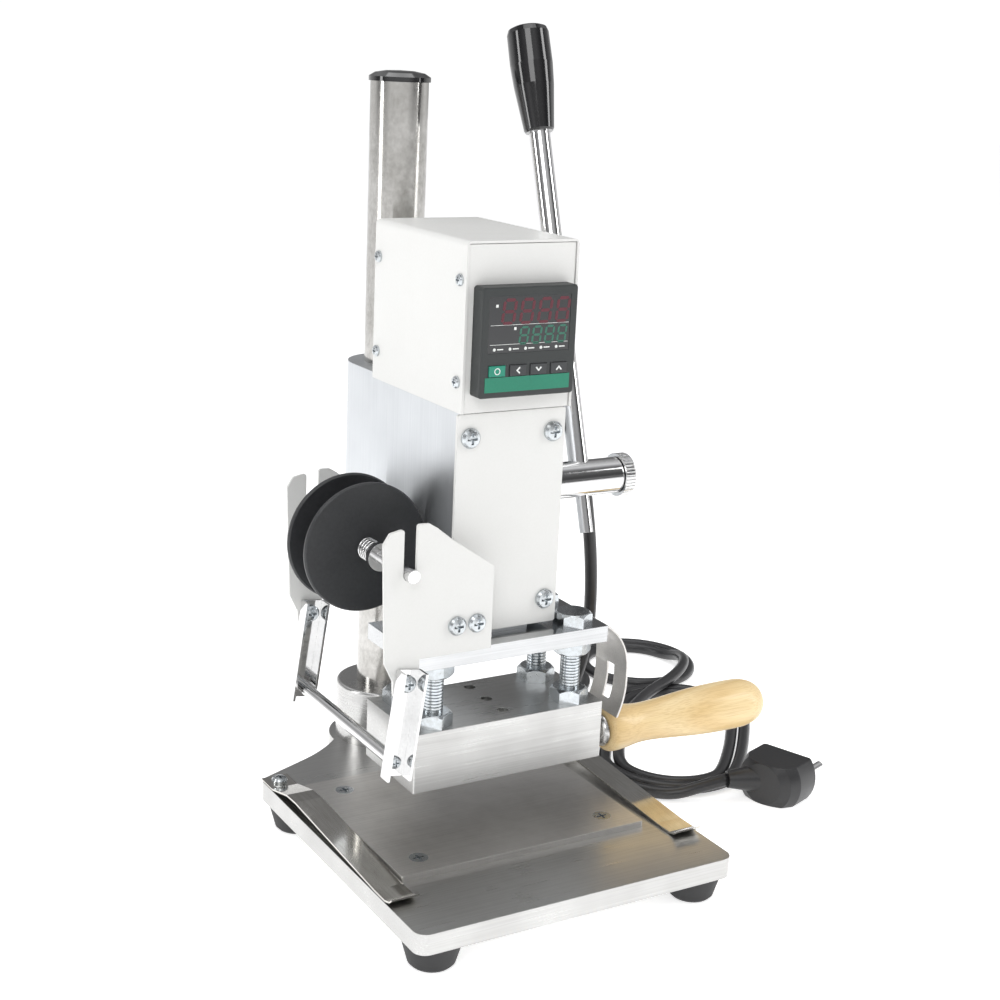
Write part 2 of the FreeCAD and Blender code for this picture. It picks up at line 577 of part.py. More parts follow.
keep("reel_rail", reel_rail())
keep("reel_bracket_front", reel_bracket(BRACKET_FRONT, -HEAD_X + 11.7, FRONT_SCREW_XS))
keep("reel_bracket_rear", reel_bracket(BRACKET_REAR - BRACKET_T, -HEAD_X + 2.7, REAR_SCREW_XS))
carrier_screws = [pan_screw((x, BRACKET_FRONT, RAIL_SCREW_Z), -Y, 4.3, 2.5, 2.0, 8.5)
                  for x in FRONT_SCREW_XS]
carrier_screws += [pan_screw((x, BRACKET_REAR, RAIL_SCREW_Z), Y, 4.3, 2.5, 2.0, 8.5)
                   for x in REAR_SCREW_XS]
carrier_screws += [pan_screw((RAIL_LEFT, y, RAIL_SCREW_Z), -X, 3.9, 2.3, 2.0, 16.0)
                   for y in RAIL_SCREWS_Y]
keep("reel_carrier_screws", *carrier_screws)

# ---------------------------------------------------------------- foil reel
SHAFT_FRONT = BRACKET_FRONT - 4.0
SHAFT_BACK = BRACKET_REAR + 4.0
COLLAR_Y = 1.0                 # front face of the spring collar on the reel shaft
COLLAR_T = 3.0
DISC_BORE = REEL_SHAFT_R + 0.06
keep("reel_shaft", cyl((REEL_X, SHAFT_FRONT, REEL_Z), Y, REEL_SHAFT_R, SHAFT_BACK - SHAFT_FRONT)
     .fuse(cyl((REEL_X, COLLAR_Y, REEL_Z), Y, 6.5, COLLAR_T)).removeSplitter())


def reel_disc(y):
    """Flange disc, y is its front face, with rounded rims."""
    r, t = REEL_DISC_R, REEL_DISC_T
    return turned([(DISC_BORE, 0), (r - 0.7, 0), (r, 0.7), (r, t - 0.7), (r - 0.7, t), (DISC_BORE, t)],
                  (REEL_X, y, REEL_Z), Y)


core_start = REEL_FRONT_Y + REEL_DISC_T / 2
core_end = REEL_REAR_Y - REEL_DISC_T / 2
keep("reel_discs", reel_disc(REEL_FRONT_Y - REEL_DISC_T / 2), reel_disc(core_end))
keep("reel_core", tube((REEL_X, core_start, REEL_Z), Y, REEL_CORE_R, DISC_BORE, core_end - core_start))
spring_start = COLLAR_Y + COLLAR_T
spring_end = REEL_FRONT_Y - REEL_DISC_T / 2
keep("reel_spring", coil_spring((REEL_X, spring_start + 0.05, REEL_Z), Y, 4.6, 0.55,
                                spring_end - spring_start - 0.1, 5))

# ---------------------------------------------------------------- foil guide frame


def guide_arm(y_web, hole_top):
    """Channel with its web at the back, pivot hole at the top and rod hole at the bottom."""
    top, bottom = PIVOT_Z + 6.5, PIVOT_Z - ARM_LENGTH - 6.5
    x0, x1 = PIVOT_X - ARM_W / 2, PIVOT_X + ARM_W / 2
    y0 = y_web - ARM_FLANGE
    solid = box(x0, x1, y0, y_web, bottom, top)
    solid = fillet_where(solid, 1.5, lambda m, d: upright(d) and abs(m.y - y_web) < 0.01)
    solid = solid.cut(box(x0 + ARM_T, x1 - ARM_T, y0 - 1, y_web - ARM_T, bottom - 1, top + 1))
    solid = solid.cut(cyl((PIVOT_X, y_web - 3, PIVOT_Z), Y, hole_top, 4))
    solid = solid.cut(cyl((PIVOT_X, y_web - 3, PIVOT_Z - ARM_LENGTH), Y, 1.6, 4))
    solid.rotate(V(PIVOT_X, 0, PIVOT_Z), Y, ARM_TILT)
    return solid


tilt = math.radians(ARM_TILT)
ROD_X = PIVOT_X - ROD_REACH
ROD_Z = PIVOT_Z - ARM_LENGTH * math.cos(tilt)
WEB_FRONT = BRACKET_FRONT - 0.15
WEB_REAR = BRACKET_REAR - BRACKET_T - 0.15
keep("guide_arms", guide_arm(WEB_FRONT, 2.05), guide_arm(WEB_REAR, 2.05))
rod = cyl((ROD_X, WEB_FRONT, ROD_Z), Y, GUIDE_ROD_R, WEB_REAR - ARM_T - WEB_FRONT)
for y_hole in (WEB_FRONT - 1, WEB_REAR - ARM_T - 7):
    rod = rod.cut(cyl((ROD_X, y_hole, ROD_Z), Y, 1.5, 8))
keep("guide_rod", rod)
keep("guide_rod_screws",
     pan_screw((ROD_X, WEB_FRONT - ARM_T, ROD_Z), -Y, 2.9, 1.8, 1.48, 7.5),
     pan_screw((ROD_X, WEB_REAR, ROD_Z), Y, 2.9, 1.8, 1.48, 7.5))
pivot_reach = ARM_T + 0.15 + BRACKET_T + 3.0
keep("arm_pivot_screws", *[
    pan_screw((PIVOT_X, web - ARM_T - 0.05, PIVOT_Z), -Y, 3.9, 2.3, 1.98, pivot_reach)
    .fuse(hexagon((PIVOT_X, web + 0.15 + BRACKET_T, PIVOT_Z), Y, 7.0, 2.6))
    for web in (WEB_FRONT, WEB_REAR)])

# ---------------------------------------------------------------- lever, shaft and pinion


def gear_outline():
    """Involute pinion outline in its own plane, one tooth centred on angle 0."""
    base = PITCH_R * math.cos(PRESSURE)
    tip = PITCH_R + MODULE
    root = PITCH_R - 1.25 * MODULE
    half = math.pi / (2 * PINION_TEETH) - BACKLASH / (2 * PITCH_R)
    involute_at_pitch = math.tan(PRESSURE) - PRESSURE
    flank = []
    steps = 6
    for i in range(steps + 1):
        r = base + (tip - base) * i / steps
        a = math.acos(min(1.0, base / r))
        flank.append((r, half + involute_at_pitch - (math.tan(a) - a)))
    points = []
    for k in range(PINION_TEETH):
        mid = 2 * math.pi * k / PINION_TEETH
        side = [(root, flank[0][1])] + flank
        points += [(r, mid - a) for r, a in side]
        points += [(r, mid + a) for r, a in reversed(side)]
    return points


def pinion():
    corners = [V(-PINION_W / 2, SHAFT_Y - r * math.cos(a), SHAFT_Z + r * math.sin(a))
               for r, a in gear_outline()]
    wire = Part.makePolygon(corners + corners[:1])
    gear = Part.Face(wire).extrude(V(PINION_W, 0, 0))
    gear = gear.cut(cyl((-PINION_W / 2 - 1, SHAFT_Y, SHAFT_Z), X, SHAFT_R, PINION_W + 2))
    return gear


def ram_rack():
    """Flat ram whose rear face carries the rack."""
    back = RACK_Y - 1.3 * MODULE
    tip = RACK_Y + MODULE * 0.95
    front = HEAD_FRONT + 0.3
    z0, z1 = PLATE_TOP, RAM_TOP
    slope = math.tan(PRESSURE)
    pitch = math.pi * MODULE
    half = pitch / 4 - BACKLASH / 2
    solid = box(-RAM_W / 2, RAM_W / 2, front, back, z0, z1)
    block = PINION_W / 2 - 0.5
    first = math.ceil((118.0 - SHAFT_Z) / pitch - 0.5)
    last = math.floor((z1 - 3.0 - SHAFT_Z) / pitch - 0.5)
    for k in range(first, last + 1):
        mid = SHAFT_Z + (k + 0.5) * pitch
        deep = half + (RACK_Y - back) * slope
        slim = half - (tip - RACK_Y) * slope
        tooth = prism([(-block, back - 0.2, mid - deep), (-block, back - 0.2, mid + deep),
                       (-block, back, mid + deep), (-block, tip, mid + slim), (-block, tip, mid - slim),
                       (-block, back, mid - deep)], V(2 * block, 0, 0))
        solid = solid.fuse(tooth)
    return solid.removeSplitter()


LEVER_UP = V(0, math.sin(math.radians(LEVER_TILT)), math.cos(math.radians(LEVER_TILT)))


def along_lever(t):
    return (LEVER_X, SHAFT_Y + LEVER_UP.y * t, SHAFT_Z + LEVER_UP.z * t)


SHAFT_LEFT = -HEAD_X + BLIND_WALL + 0.5
HUB_START = HEAD_X + 1.8
SEAT = HUB_R - 1.5             # the rod's shoulder sits this far from the shaft axis
shaft = cyl((SHAFT_LEFT, SHAFT_Y, SHAFT_Z), X, SHAFT_R, HUB_START - SHAFT_LEFT)
shaft = shaft.fuse(cyl((HUB_START, SHAFT_Y, SHAFT_Z), X, HUB_R, HUB_END - HUB_START))
shaft = shaft.fuse(cyl((HUB_END, SHAFT_Y, SHAFT_Z), X, 4.0, 2.0))
shaft = shaft.cut(cyl(along_lever(-HUB_R - 2), LEVER_UP, LEVER_STUB_R + 0.01, 2 * HUB_R + 4))
shaft = shaft.cut(cyl(along_lever(SEAT), LEVER_UP, LEVER_ROD_R + 0.01, HUB_R))
keep("lever_shaft", shaft.removeSplitter())
keep("shaft_washer", tube((HEAD_X + 0.2, SHAFT_Y, SHAFT_Z), X, HUB_R + 0.8, SHAFT_R, 1.6))
keep("pinion", pinion())
lever_rod = cyl(along_lever(SEAT), LEVER_UP, LEVER_ROD_R, LEVER_LENGTH - SEAT - 8)
lever_rod = lever_rod.fuse(cyl(along_lever(-LEVER_STUB), LEVER_UP, LEVER_STUB_R, LEVER_STUB + SEAT))
keep("lever_rod", lever_rod.removeSplitter())
GRIP_START = LEVER_LENGTH - GRIP_LENGTH
grip = turned([(0, 0), (6.6, 0), (7.2, 1.0), (9.6, 22.0), (10.2, 32.0), (10.0, GRIP_LENGTH - 3.0),
               (9.2, GRIP_LENGTH - 0.8), (7.5, GRIP_LENGTH), (0, GRIP_LENGTH)],
              along_lever(GRIP_START), LEVER_UP)
grip = grip.cut(cyl(along_lever(GRIP_START - 1), LEVER_UP, LEVER_ROD_R, GRIP_LENGTH - 7))
keep("lever_grip", grip)
knob = cyl((HUB_END + 0.5, SHAFT_Y, SHAFT_Z), X, KNOB_R, KNOB_T)
knob = fillet_where(knob, 1.0, lambda m, d: abs(m.x - HUB_END - 0.5 - KNOB_T) < 0.01)
GROOVES = 40
for i in range(GROOVES):
    turn = 2 * math.pi * i / GROOVES
    knob = knob.cut(cyl((HUB_END, SHAFT_Y + (KNOB_R + 0.25) * math.cos(turn),
                         SHAFT_Z + (KNOB_R + 0.25) * math.sin(turn)), X, 0.5, KNOB_T + 2))
knob = knob.cut(cyl((HUB_END, SHAFT_Y, SHAFT_Z), X, 4.06, 2.6))
keep("lock_knob", knob)

# ---------------------------------------------------------------- ram, plates and heating block
STUDS = grid(0, 0, 2 * STUD_X, 2 * STUD_Y)
PROBE_R = 1.5                  # temperature probe, between the two heating cartridges
PROBE_WALL = 0.5
BOLT_WALL = 0.1                # between a cartridge and the bolt holes beside it
CARTRIDGE_R = (STUD_Y - STUD_R - PROBE_R - PROBE_WALL - BOLT_WALL) / 2
CARTRIDGE_Y = PROBE_R + PROBE_WALL + CARTRIDGE_R
LEAD_HOLES_Y = (-CARTRIDGE_Y, CARTRIDGE_Y)
CARTRIDGE_Z = BLOCK_TOP - 8.5
TOP_HOLES_Y = (-14.0, 1.0, 17.0)


def upper_plate():
    solid = box(-PLATE_W / 2, PLATE_W / 2, -PLATE_D / 2, PLATE_D / 2, PLATE_BOTTOM, PLATE_TOP)
    for x, y in STUDS:
        solid = solid.cut(cyl((x, y, PLATE_BOTTOM - 1), Z, STUD_R, PLATE_T + 2))
    return solid


def dovetail(x0, x1, clear):
    """Dovetail bar along X, wide side up, its foot flush with the block's bottom."""
    low = DIE_W / 2 + clear
    high = low + DIE_T * 0.45
    top = BLOCK_BOTTOM + DIE_T + clear
    return prism([(x0, -low, BLOCK_BOTTOM), (x0, low, BLOCK_BOTTOM), (x0, high, top), (x0, -high, top)],
                 V(x1 - x0, 0, 0))


def heating_block():
    hw, hd = BLOCK_W / 2, BLOCK_D / 2
    solid = box(-hw, hw, -hd, hd, BLOCK_BOTTOM, BLOCK_TOP)
    solid = fillet_where(solid, 0.6, lambda m, d: upright(d))
    solid = solid.cut(dovetail(-hw + 4.0, hw + 1, 0.1))
    for x, y in STUDS:
        solid = solid.cut(cyl((x, y, BLOCK_TOP - 12), Z, STUD_R, 13))
    for y in LEAD_HOLES_Y:
        solid = solid.cut(cyl((-hw + 6, y, CARTRIDGE_Z), X, CARTRIDGE_R, BLOCK_W))
    solid = solid.cut(cyl((0, 0, CARTRIDGE_Z), X, PROBE_R, BLOCK_W))
    for y in TOP_HOLES_Y:
        solid = solid.cut(cyl((1.0, y, BLOCK_TOP - 3), Z, 2.8, 4))
    return solid


def stud(x, y):
    """Hex-head bolt through the upper plate and into the block, with a rolled thread."""
    bottom = BLOCK_TOP - 11.5
    shank = cyl((x, y, bottom), Z, STUD_R, PLATE_TOP - bottom)
    pitch = 1.5
    z = BLOCK_TOP + 7.2
    while z < PLATE_BOTTOM - 7.5:
        groove = turned([(STUD_R + 1, 0), (STUD_R - 0.62, pitch / 2), (STUD_R + 1, pitch)], (x, y, z), Z)
        shank = shank.cut(groove)
        z += pitch
    head = hexagon((x, y, PLATE_TOP), Z, HEX_AF, HEX_H)
    return shank.fuse(head)


def nut(x, y, z, height, axis):
    solid = hexagon((x, y, z), axis, HEX_AF, height)
    return solid.cut(cyl((x, y, z - 20), Z, STUD_R, 40))


def guard_strip():
    """Bent guard over the heater leads at the block's right end, with a long vent slot."""
    start_x = PLATE_W / 2
    t = GUARD_T
    outer = [V(start_x + 0.6, GUARD_Y0, PLATE_TOP - 0.3), V(start_x + GUARD_BULGE - 4.2, GUARD_Y0, PLATE_TOP - 11.0),
             V(start_x + GUARD_BULGE, GUARD_Y0, PLATE_TOP - 28.0),
             V(start_x + GUARD_BULGE - 0.5, GUARD_Y0, PLATE_TOP - 39.0),
             V(start_x + GUARD_BULGE - 4.0, GUARD_Y0, GUARD_LOW)]
    inner = [V(start_x, GUARD_Y0, PLATE_TOP - 1.4)] + [V(p.x - t, GUARD_Y0, p.z) for p in outer[1:]]
    wire = Part.Wire([Part.Arc(*outer[:3]).toShape(), Part.Arc(*outer[2:]).toShape(),
                      Part.LineSegment(outer[4], inner[4]).toShape(),
                      Part.Arc(inner[4], inner[3], inner[2]).toShape(),
                      Part.Arc(inner[2], inner[1], inner[0]).toShape(),
                      Part.LineSegment(inner[0], outer[0]).toShape()])
    solid = Part.Face(wire).extrude(V(0, GUARD_W, 0))
    middle = GUARD_Y0 + GUARD_W / 2
    slot = box(start_x + 8, start_x + 30, middle - 3, middle + 3, PLATE_TOP - 45.0, PLATE_TOP - 27.0)
    return solid.cut(slot)


GUARD_Y0 = -19.0
GUARD_W = 26.0
GUARD_T = 1.0
GUARD_BULGE = (BLOCK_W - PLATE_W) / 2 + 17.1
GUARD_LOW = 41.0
keep("ram", ram_rack())
keep("guide_rods", *[
    cyl((s * GUIDE_X, GUIDE_Y, PLATE_TOP), Z, GUIDE_R, GUIDE_TOP - PLATE_TOP).fuse(
        cyl((s * GUIDE_X, GUIDE_Y, GUIDE_TOP - 4), Z, SPRING_POCKET_R - 0.4, 4)) for s in (-1, 1)])
RETURN_SPRING_Z = HEAD_BOTTOM + GUIDE_BUSH_H
keep("return_springs", *[
    coil_spring((s * GUIDE_X, GUIDE_Y, RETURN_SPRING_Z), Z, 5.1, 0.75,
                GUIDE_TOP - 4 - RETURN_SPRING_Z - 0.2, 7) for s in (-1, 1)])
keep("upper_plate", upper_plate())
keep("levelling_bolts", *[stud(x, y) for x, y in STUDS])
keep("levelling_nuts", *([nut(x, y, BLOCK_TOP, 6.6, Z) for x, y in STUDS]
                         + [nut(x, y, PLATE_BOTTOM, 6.0, -Z) for x, y in STUDS]))
keep("heating_block", heating_block())
elements = [cyl((-BLOCK_W / 2 + 6.1, y, CARTRIDGE_Z), X, CARTRIDGE_R - FIT, BLOCK_W - 7)
            for y in LEAD_HOLES_Y]
elements.append(cyl((1.0, 0, CARTRIDGE_Z), X, PROBE_R - FIT, BLOCK_W / 2 + 3))
keep("heating_elements", *elements)
keep("lead_guard", guard_strip())

# ---------------------------------------------------------------- die plate and its handle
die = dovetail(-BLOCK_W / 2 + 4.4, BLOCK_W / 2 + 2.0, -0.15)
ROD_R = 3.5
TANG_R = 2.2                   # the rod's thin end in the die plate
die = die.cut(cyl((BLOCK_W / 2 - 10, HANDLE_Y, HANDLE_Z), X, TANG_R, 20))
keep("die_plate", die)
keep("handle_rod", cyl((BLOCK_W / 2 - 10, HANDLE_Y, HANDLE_Z), X, TANG_R, 12.0).fuse(
    cyl((BLOCK_W / 2 + 2.0, HANDLE_Y, HANDLE_Z), X, ROD_R, HANDLE_START + 25 - BLOCK_W / 2 - 2)))


def wood_handle():
    """Turned handle: flared root, slim neck, full body, round end."""
    length = HANDLE_END - HANDLE_START
    nodes = [(9.0, 0.0), (10.8, 1.6), (11.4, 5.0), (9.9, 18.0), (9.7, 27.0), (11.2, 46.0),
             (12.4, 66.0), (12.5, 78.0), (11.6, 88.0), (8.2, length - 2.6), (3.0, length - 0.3)]
    curve = Part.BSplineCurve()
    curve.interpolate([V(r, 0, t) for r, t in nodes])
    end = V(0, 0, length)
    edges = [curve.toShape(), Part.LineSegment(V(*[nodes[-1][0], 0, nodes[-1][1]]), end).toShape(),
             Part.LineSegment(end, V(0, 0, 0)).toShape(),
             Part.LineSegment(V(0, 0, 0), V(nodes[0][0], 0, 0)).toShape()]
    solid = Part.Face(Part.Wire(edges)).revolve(V(0, 0, 0), Z, 360)
    solid.Placement = FreeCAD.Placement(V(HANDLE_START, HANDLE_Y, HANDLE_Z), FreeCAD.Rotation(Z, X))
    return solid.cut(cyl((HANDLE_START - 1, HANDLE_Y, HANDLE_Z), X, ROD_R, 26.0))


keep("wood_handle", wood_handle())

# ---------------------------------------------------------------- mains cord
CORD_FLOOR = FLOOR + CORD_R + 0.15
DROP_ROUTE = [(GLAND_TIP + 0.3, GLAND_Y, GLAND_Z), (63.0, 44.6, 174.0), (76.0, 46.0, 159.0),
              (82.0, 48.0, 135.0), (88.0, 50.0, 108.0), (92.5, 53.0, 82.0), (96.0, 58.0, 56.0),
              (97.5, 66.0, 31.0), (97.0, 78.0, 8.0), (98.0, 93.0, -9.0), (106.0, 110.0, -19.0),
              (120.0, 126.0, CORD_FLOOR), (138.0, 138.0, CORD_FLOOR), (157.0, 147.0, CORD_FLOOR),
              (171.0, 161.0, CORD_FLOOR + 0.5), (178.0, 178.0, CORD_FLOOR + 1.5)]
PLUG_H = 22.0
PLUG_Z = FLOOR + PLUG_H / 2
TAIL_ROUTE = [(110.0, 26.0, CORD_FLOOR), (117.0, 11.0, CORD_FLOOR + 1.0), (130.0, 1.0, CORD_FLOOR + 4.2),
              (146.0, -4.5, PLUG_Z)]


def arc_path(points):
    """Straight runs joined by tangent arcs, each as large as its two runs allow."""
    pts = [V(*p) for p in points]
    edges = []
    start = pts[0]
    radii = []
    for a, b, c in zip(pts, pts[1:], pts[2:]):
        u, w = (a - b), (c - b)
        reach = 0.45 * min(u.Length, w.Length)
        u.normalize()
        w.normalize()
        turn = math.pi - u.getAngle(w)
        if turn < 1e-4:
            continue
        radius = reach / math.tan(turn / 2)
        radii.append(radius)
        p, q = b + u * reach, b + w * reach
        bisector = u + w
        bisector.normalize()
        middle = b + bisector * (math.hypot(radius, reach) - radius)
        edges.append(Part.LineSegment(start, p).toShape())
        edges.append(Part.Arc(p, middle, q).toShape())
        start = q
    edges.append(Part.LineSegment(start, pts[-1]).toShape())
    return Part.Wire(edges), radii


def cord_tube(points):
    wire, radii = arc_path(points)
    first = wire.Edges[0]
    direction = first.tangentAt(first.FirstParameter)
    ring = Part.Wire(Part.makeCircle(CORD_R, V(*points[0]), direction))
    solid = wire.makePipeShell([ring], True, True)
    section = math.pi * CORD_R ** 2 * wire.Length
    print("cord run", round(wire.Length, 1), "volume ratio", round(solid.Volume / section, 4),
          "smallest radius", round(min(radii), 1) if radii else "straight")
    return solid


COIL_Z = FLOOR + COIL_TUBE_R + 0.15


def long_coil():
    """Closed bundle of turns with two round ends and two straight sides."""
    half = Part.makeTorus(FRONT_R, COIL_TUBE_R, V(FRONT_HALF, 0, 0), Z, 0, 360, 180)
    half.rotate(V(FRONT_HALF, 0, 0), Z, -90)
    other = half.copy()
    other.rotate(V(0, 0, 0), Z, 180)
    solid = half.fuse(other)
    for side in (-1, 1):
        solid = solid.fuse(cyl((-FRONT_HALF, side * FRONT_R, 0), X, COIL_TUBE_R, 2 * FRONT_HALF))
    solid = solid.removeSplitter()
    solid.rotate(V(0, 0, 0), Z, FRONT_TURN)
    solid.translate(V(FRONT_X, FRONT_Y, COIL_Z))
    return solid


keep("cord_drop", cord_tube(DROP_ROUTE))
keep("cord_coil_back", Part.makeTorus(BACK_R, COIL_TUBE_R, V(BACK_X, BACK_Y, COIL_Z), Z))
keep("cord_coil_front", long_coil())
keep("cord_tail", cord_tube(TAIL_ROUTE))

# ---------------------------------------------------------------- angled mains plug
SLEEVE_L = 16.0
FACE_R = 18.0
FACE_T = 25.0
PIN_R = 2.4
PIN_L = 19.0
PIN_PITCH = 19.0
PIN_TURN = 20.0                # degrees from +X
entry = V(*TAIL_ROUTE[-1])
heading = entry - V(*TAIL_ROUTE[-2])
heading.z = 0
heading.normalize()
plug_centre = entry + heading * (SLEEVE_L + 10.0)
pin_axis = V(math.cos(math.radians(PIN_TURN)), math.sin(math.radians(PIN_TURN)), 0)
pin_side = V(-pin_axis.y, pin_axis.x, 0)
plug_back = plug_centre - pin_axis * (FACE_T / 2)
plug = turned([(0, 0), (11.0, 0), (15.5, 3.0), (FACE_R, 9.0), (FACE_R, FACE_T - 1.0),
               (FACE_R - 1.0, FACE_T), (0, FACE_T)], tuple(plug_back), pin_axis)
plug = plug.common(box(plug_centre.x - 40, plug_centre.x + 40, plug_centre.y - 40, plug_centre.y + 40,
                       PLUG_Z - PLUG_H / 2, PLUG_Z + PLUG_H / 2))
sleeve = turned([(0, 0), (CORD_R + 1.2, 0), (CORD_R + 4.2, SLEEVE_L), (CORD_R + 4.2, SLEEVE_L + 6.0),
                 (0, SLEEVE_L + 6.0)], tuple(entry), heading)
plug = plug.fuse(sleeve).removeSplitter()
plug_face = plug_centre + pin_axis * (FACE_T / 2)
pins = []
for side in (-1, 1):
    pin_root = plug_face + pin_side * (side * PIN_PITCH / 2) - pin_axis * 8.0
    plug = plug.cut(cyl(tuple(pin_root), pin_axis, PIN_R, 9.0))
    pins.append(turned([(0, 0), (PIN_R, 0), (PIN_R, 7.0 + PIN_L), (PIN_R - 0.9, 8.0 + PIN_L),
                        (0, 8.0 + PIN_L)], tuple(pin_root), pin_axis))
keep("plug_body", plug)
keep("plug_pins", *pins)

# ---------------------------------------------------------------- write the parts
for name, shape in NODES.items():
    solids = shape.Solids
    assert solids, name
    assert shape.isValid(), name
    for item in solids:
        assert item.Volume > 0, name
    shape.exportStep(f"parts/{name}.step")
print(len(NODES), "nodes,", sum(len(s.Solids) for s in NODES.values()), "solids")
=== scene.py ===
"""Looks of the hot foil stamper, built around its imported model. Lengths are in metres."""

import math

import bmesh
import bpy
from mathutils import Matrix, Vector


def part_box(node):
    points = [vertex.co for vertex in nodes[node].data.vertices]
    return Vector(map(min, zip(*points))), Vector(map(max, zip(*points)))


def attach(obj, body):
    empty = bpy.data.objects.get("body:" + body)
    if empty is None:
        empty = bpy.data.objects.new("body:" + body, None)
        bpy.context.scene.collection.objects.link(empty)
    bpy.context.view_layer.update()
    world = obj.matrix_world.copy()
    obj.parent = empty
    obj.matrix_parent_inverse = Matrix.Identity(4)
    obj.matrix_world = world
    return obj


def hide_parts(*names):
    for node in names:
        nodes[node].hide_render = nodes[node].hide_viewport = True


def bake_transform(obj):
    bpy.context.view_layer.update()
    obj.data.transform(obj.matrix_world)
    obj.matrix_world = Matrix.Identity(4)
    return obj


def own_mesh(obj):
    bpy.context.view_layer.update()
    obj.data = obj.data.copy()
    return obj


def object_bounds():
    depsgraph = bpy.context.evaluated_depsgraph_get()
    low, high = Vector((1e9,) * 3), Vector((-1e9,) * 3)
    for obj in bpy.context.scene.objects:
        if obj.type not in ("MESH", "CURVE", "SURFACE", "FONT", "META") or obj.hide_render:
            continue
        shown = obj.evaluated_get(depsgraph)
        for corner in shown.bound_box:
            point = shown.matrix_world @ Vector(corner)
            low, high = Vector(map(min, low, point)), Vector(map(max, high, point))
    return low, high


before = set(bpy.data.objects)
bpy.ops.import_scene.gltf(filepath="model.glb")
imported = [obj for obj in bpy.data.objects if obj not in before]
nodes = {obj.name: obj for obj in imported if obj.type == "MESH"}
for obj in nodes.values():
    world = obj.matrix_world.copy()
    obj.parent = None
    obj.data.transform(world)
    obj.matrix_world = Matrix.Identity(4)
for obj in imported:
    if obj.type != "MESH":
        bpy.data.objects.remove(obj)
cad_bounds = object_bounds()
SKIN = 0.00006                 # how far a printed mark stands out of its face


# ---------------------------------------------------------------- camera and light
CAMERA_AT = Vector((-0.3784, -0.6323, 0.3521))
CAMERA_YAW = math.radians(-31.09)
CAMERA_PITCH = math.radians(15.26)
CAMERA_ROLL = math.radians(2.62)
LENS_MM = 60.5


def make_camera():
    data = bpy.data.cameras.new("camera")
    data.lens = LENS_MM
    data.sensor_width = 36
    camera = bpy.data.objects.new("camera", data)
    bpy.context.scene.collection.objects.link(camera)
    yaw, pitch, roll = CAMERA_YAW, CAMERA_PITCH, CAMERA_ROLL
    forward = Vector((-math.sin(yaw) * math.cos(pitch), math.cos(yaw) * math.cos(pitch), -math.sin(pitch)))
    level = Vector((math.cos(yaw), math.sin(yaw), 0))
    above = level.cross(forward)
    right = level * math.cos(roll) + above * math.sin(roll)
    up = above * math.cos(roll) - level * math.sin(roll)
    turn = Matrix((right, up, -forward)).transposed()
    camera.matrix_world = Matrix.Translation(CAMERA_AT) @ turn.to_4x4()
    bpy.context.scene.camera = camera


def area_light(name, at, aim, size, watts):
    data = bpy.data.lights.new(name, "AREA")
    data.shape = "RECTANGLE"
    data.size, data.size_y = size
    data.energy = watts
    light = bpy.data.objects.new(name, data)
    light.location = at
    light.rotation_euler = (Vector(aim) - Vector(at)).to_track_quat("-Z", "Y").to_euler()
    bpy.context.scene.collection.objects.link(light)


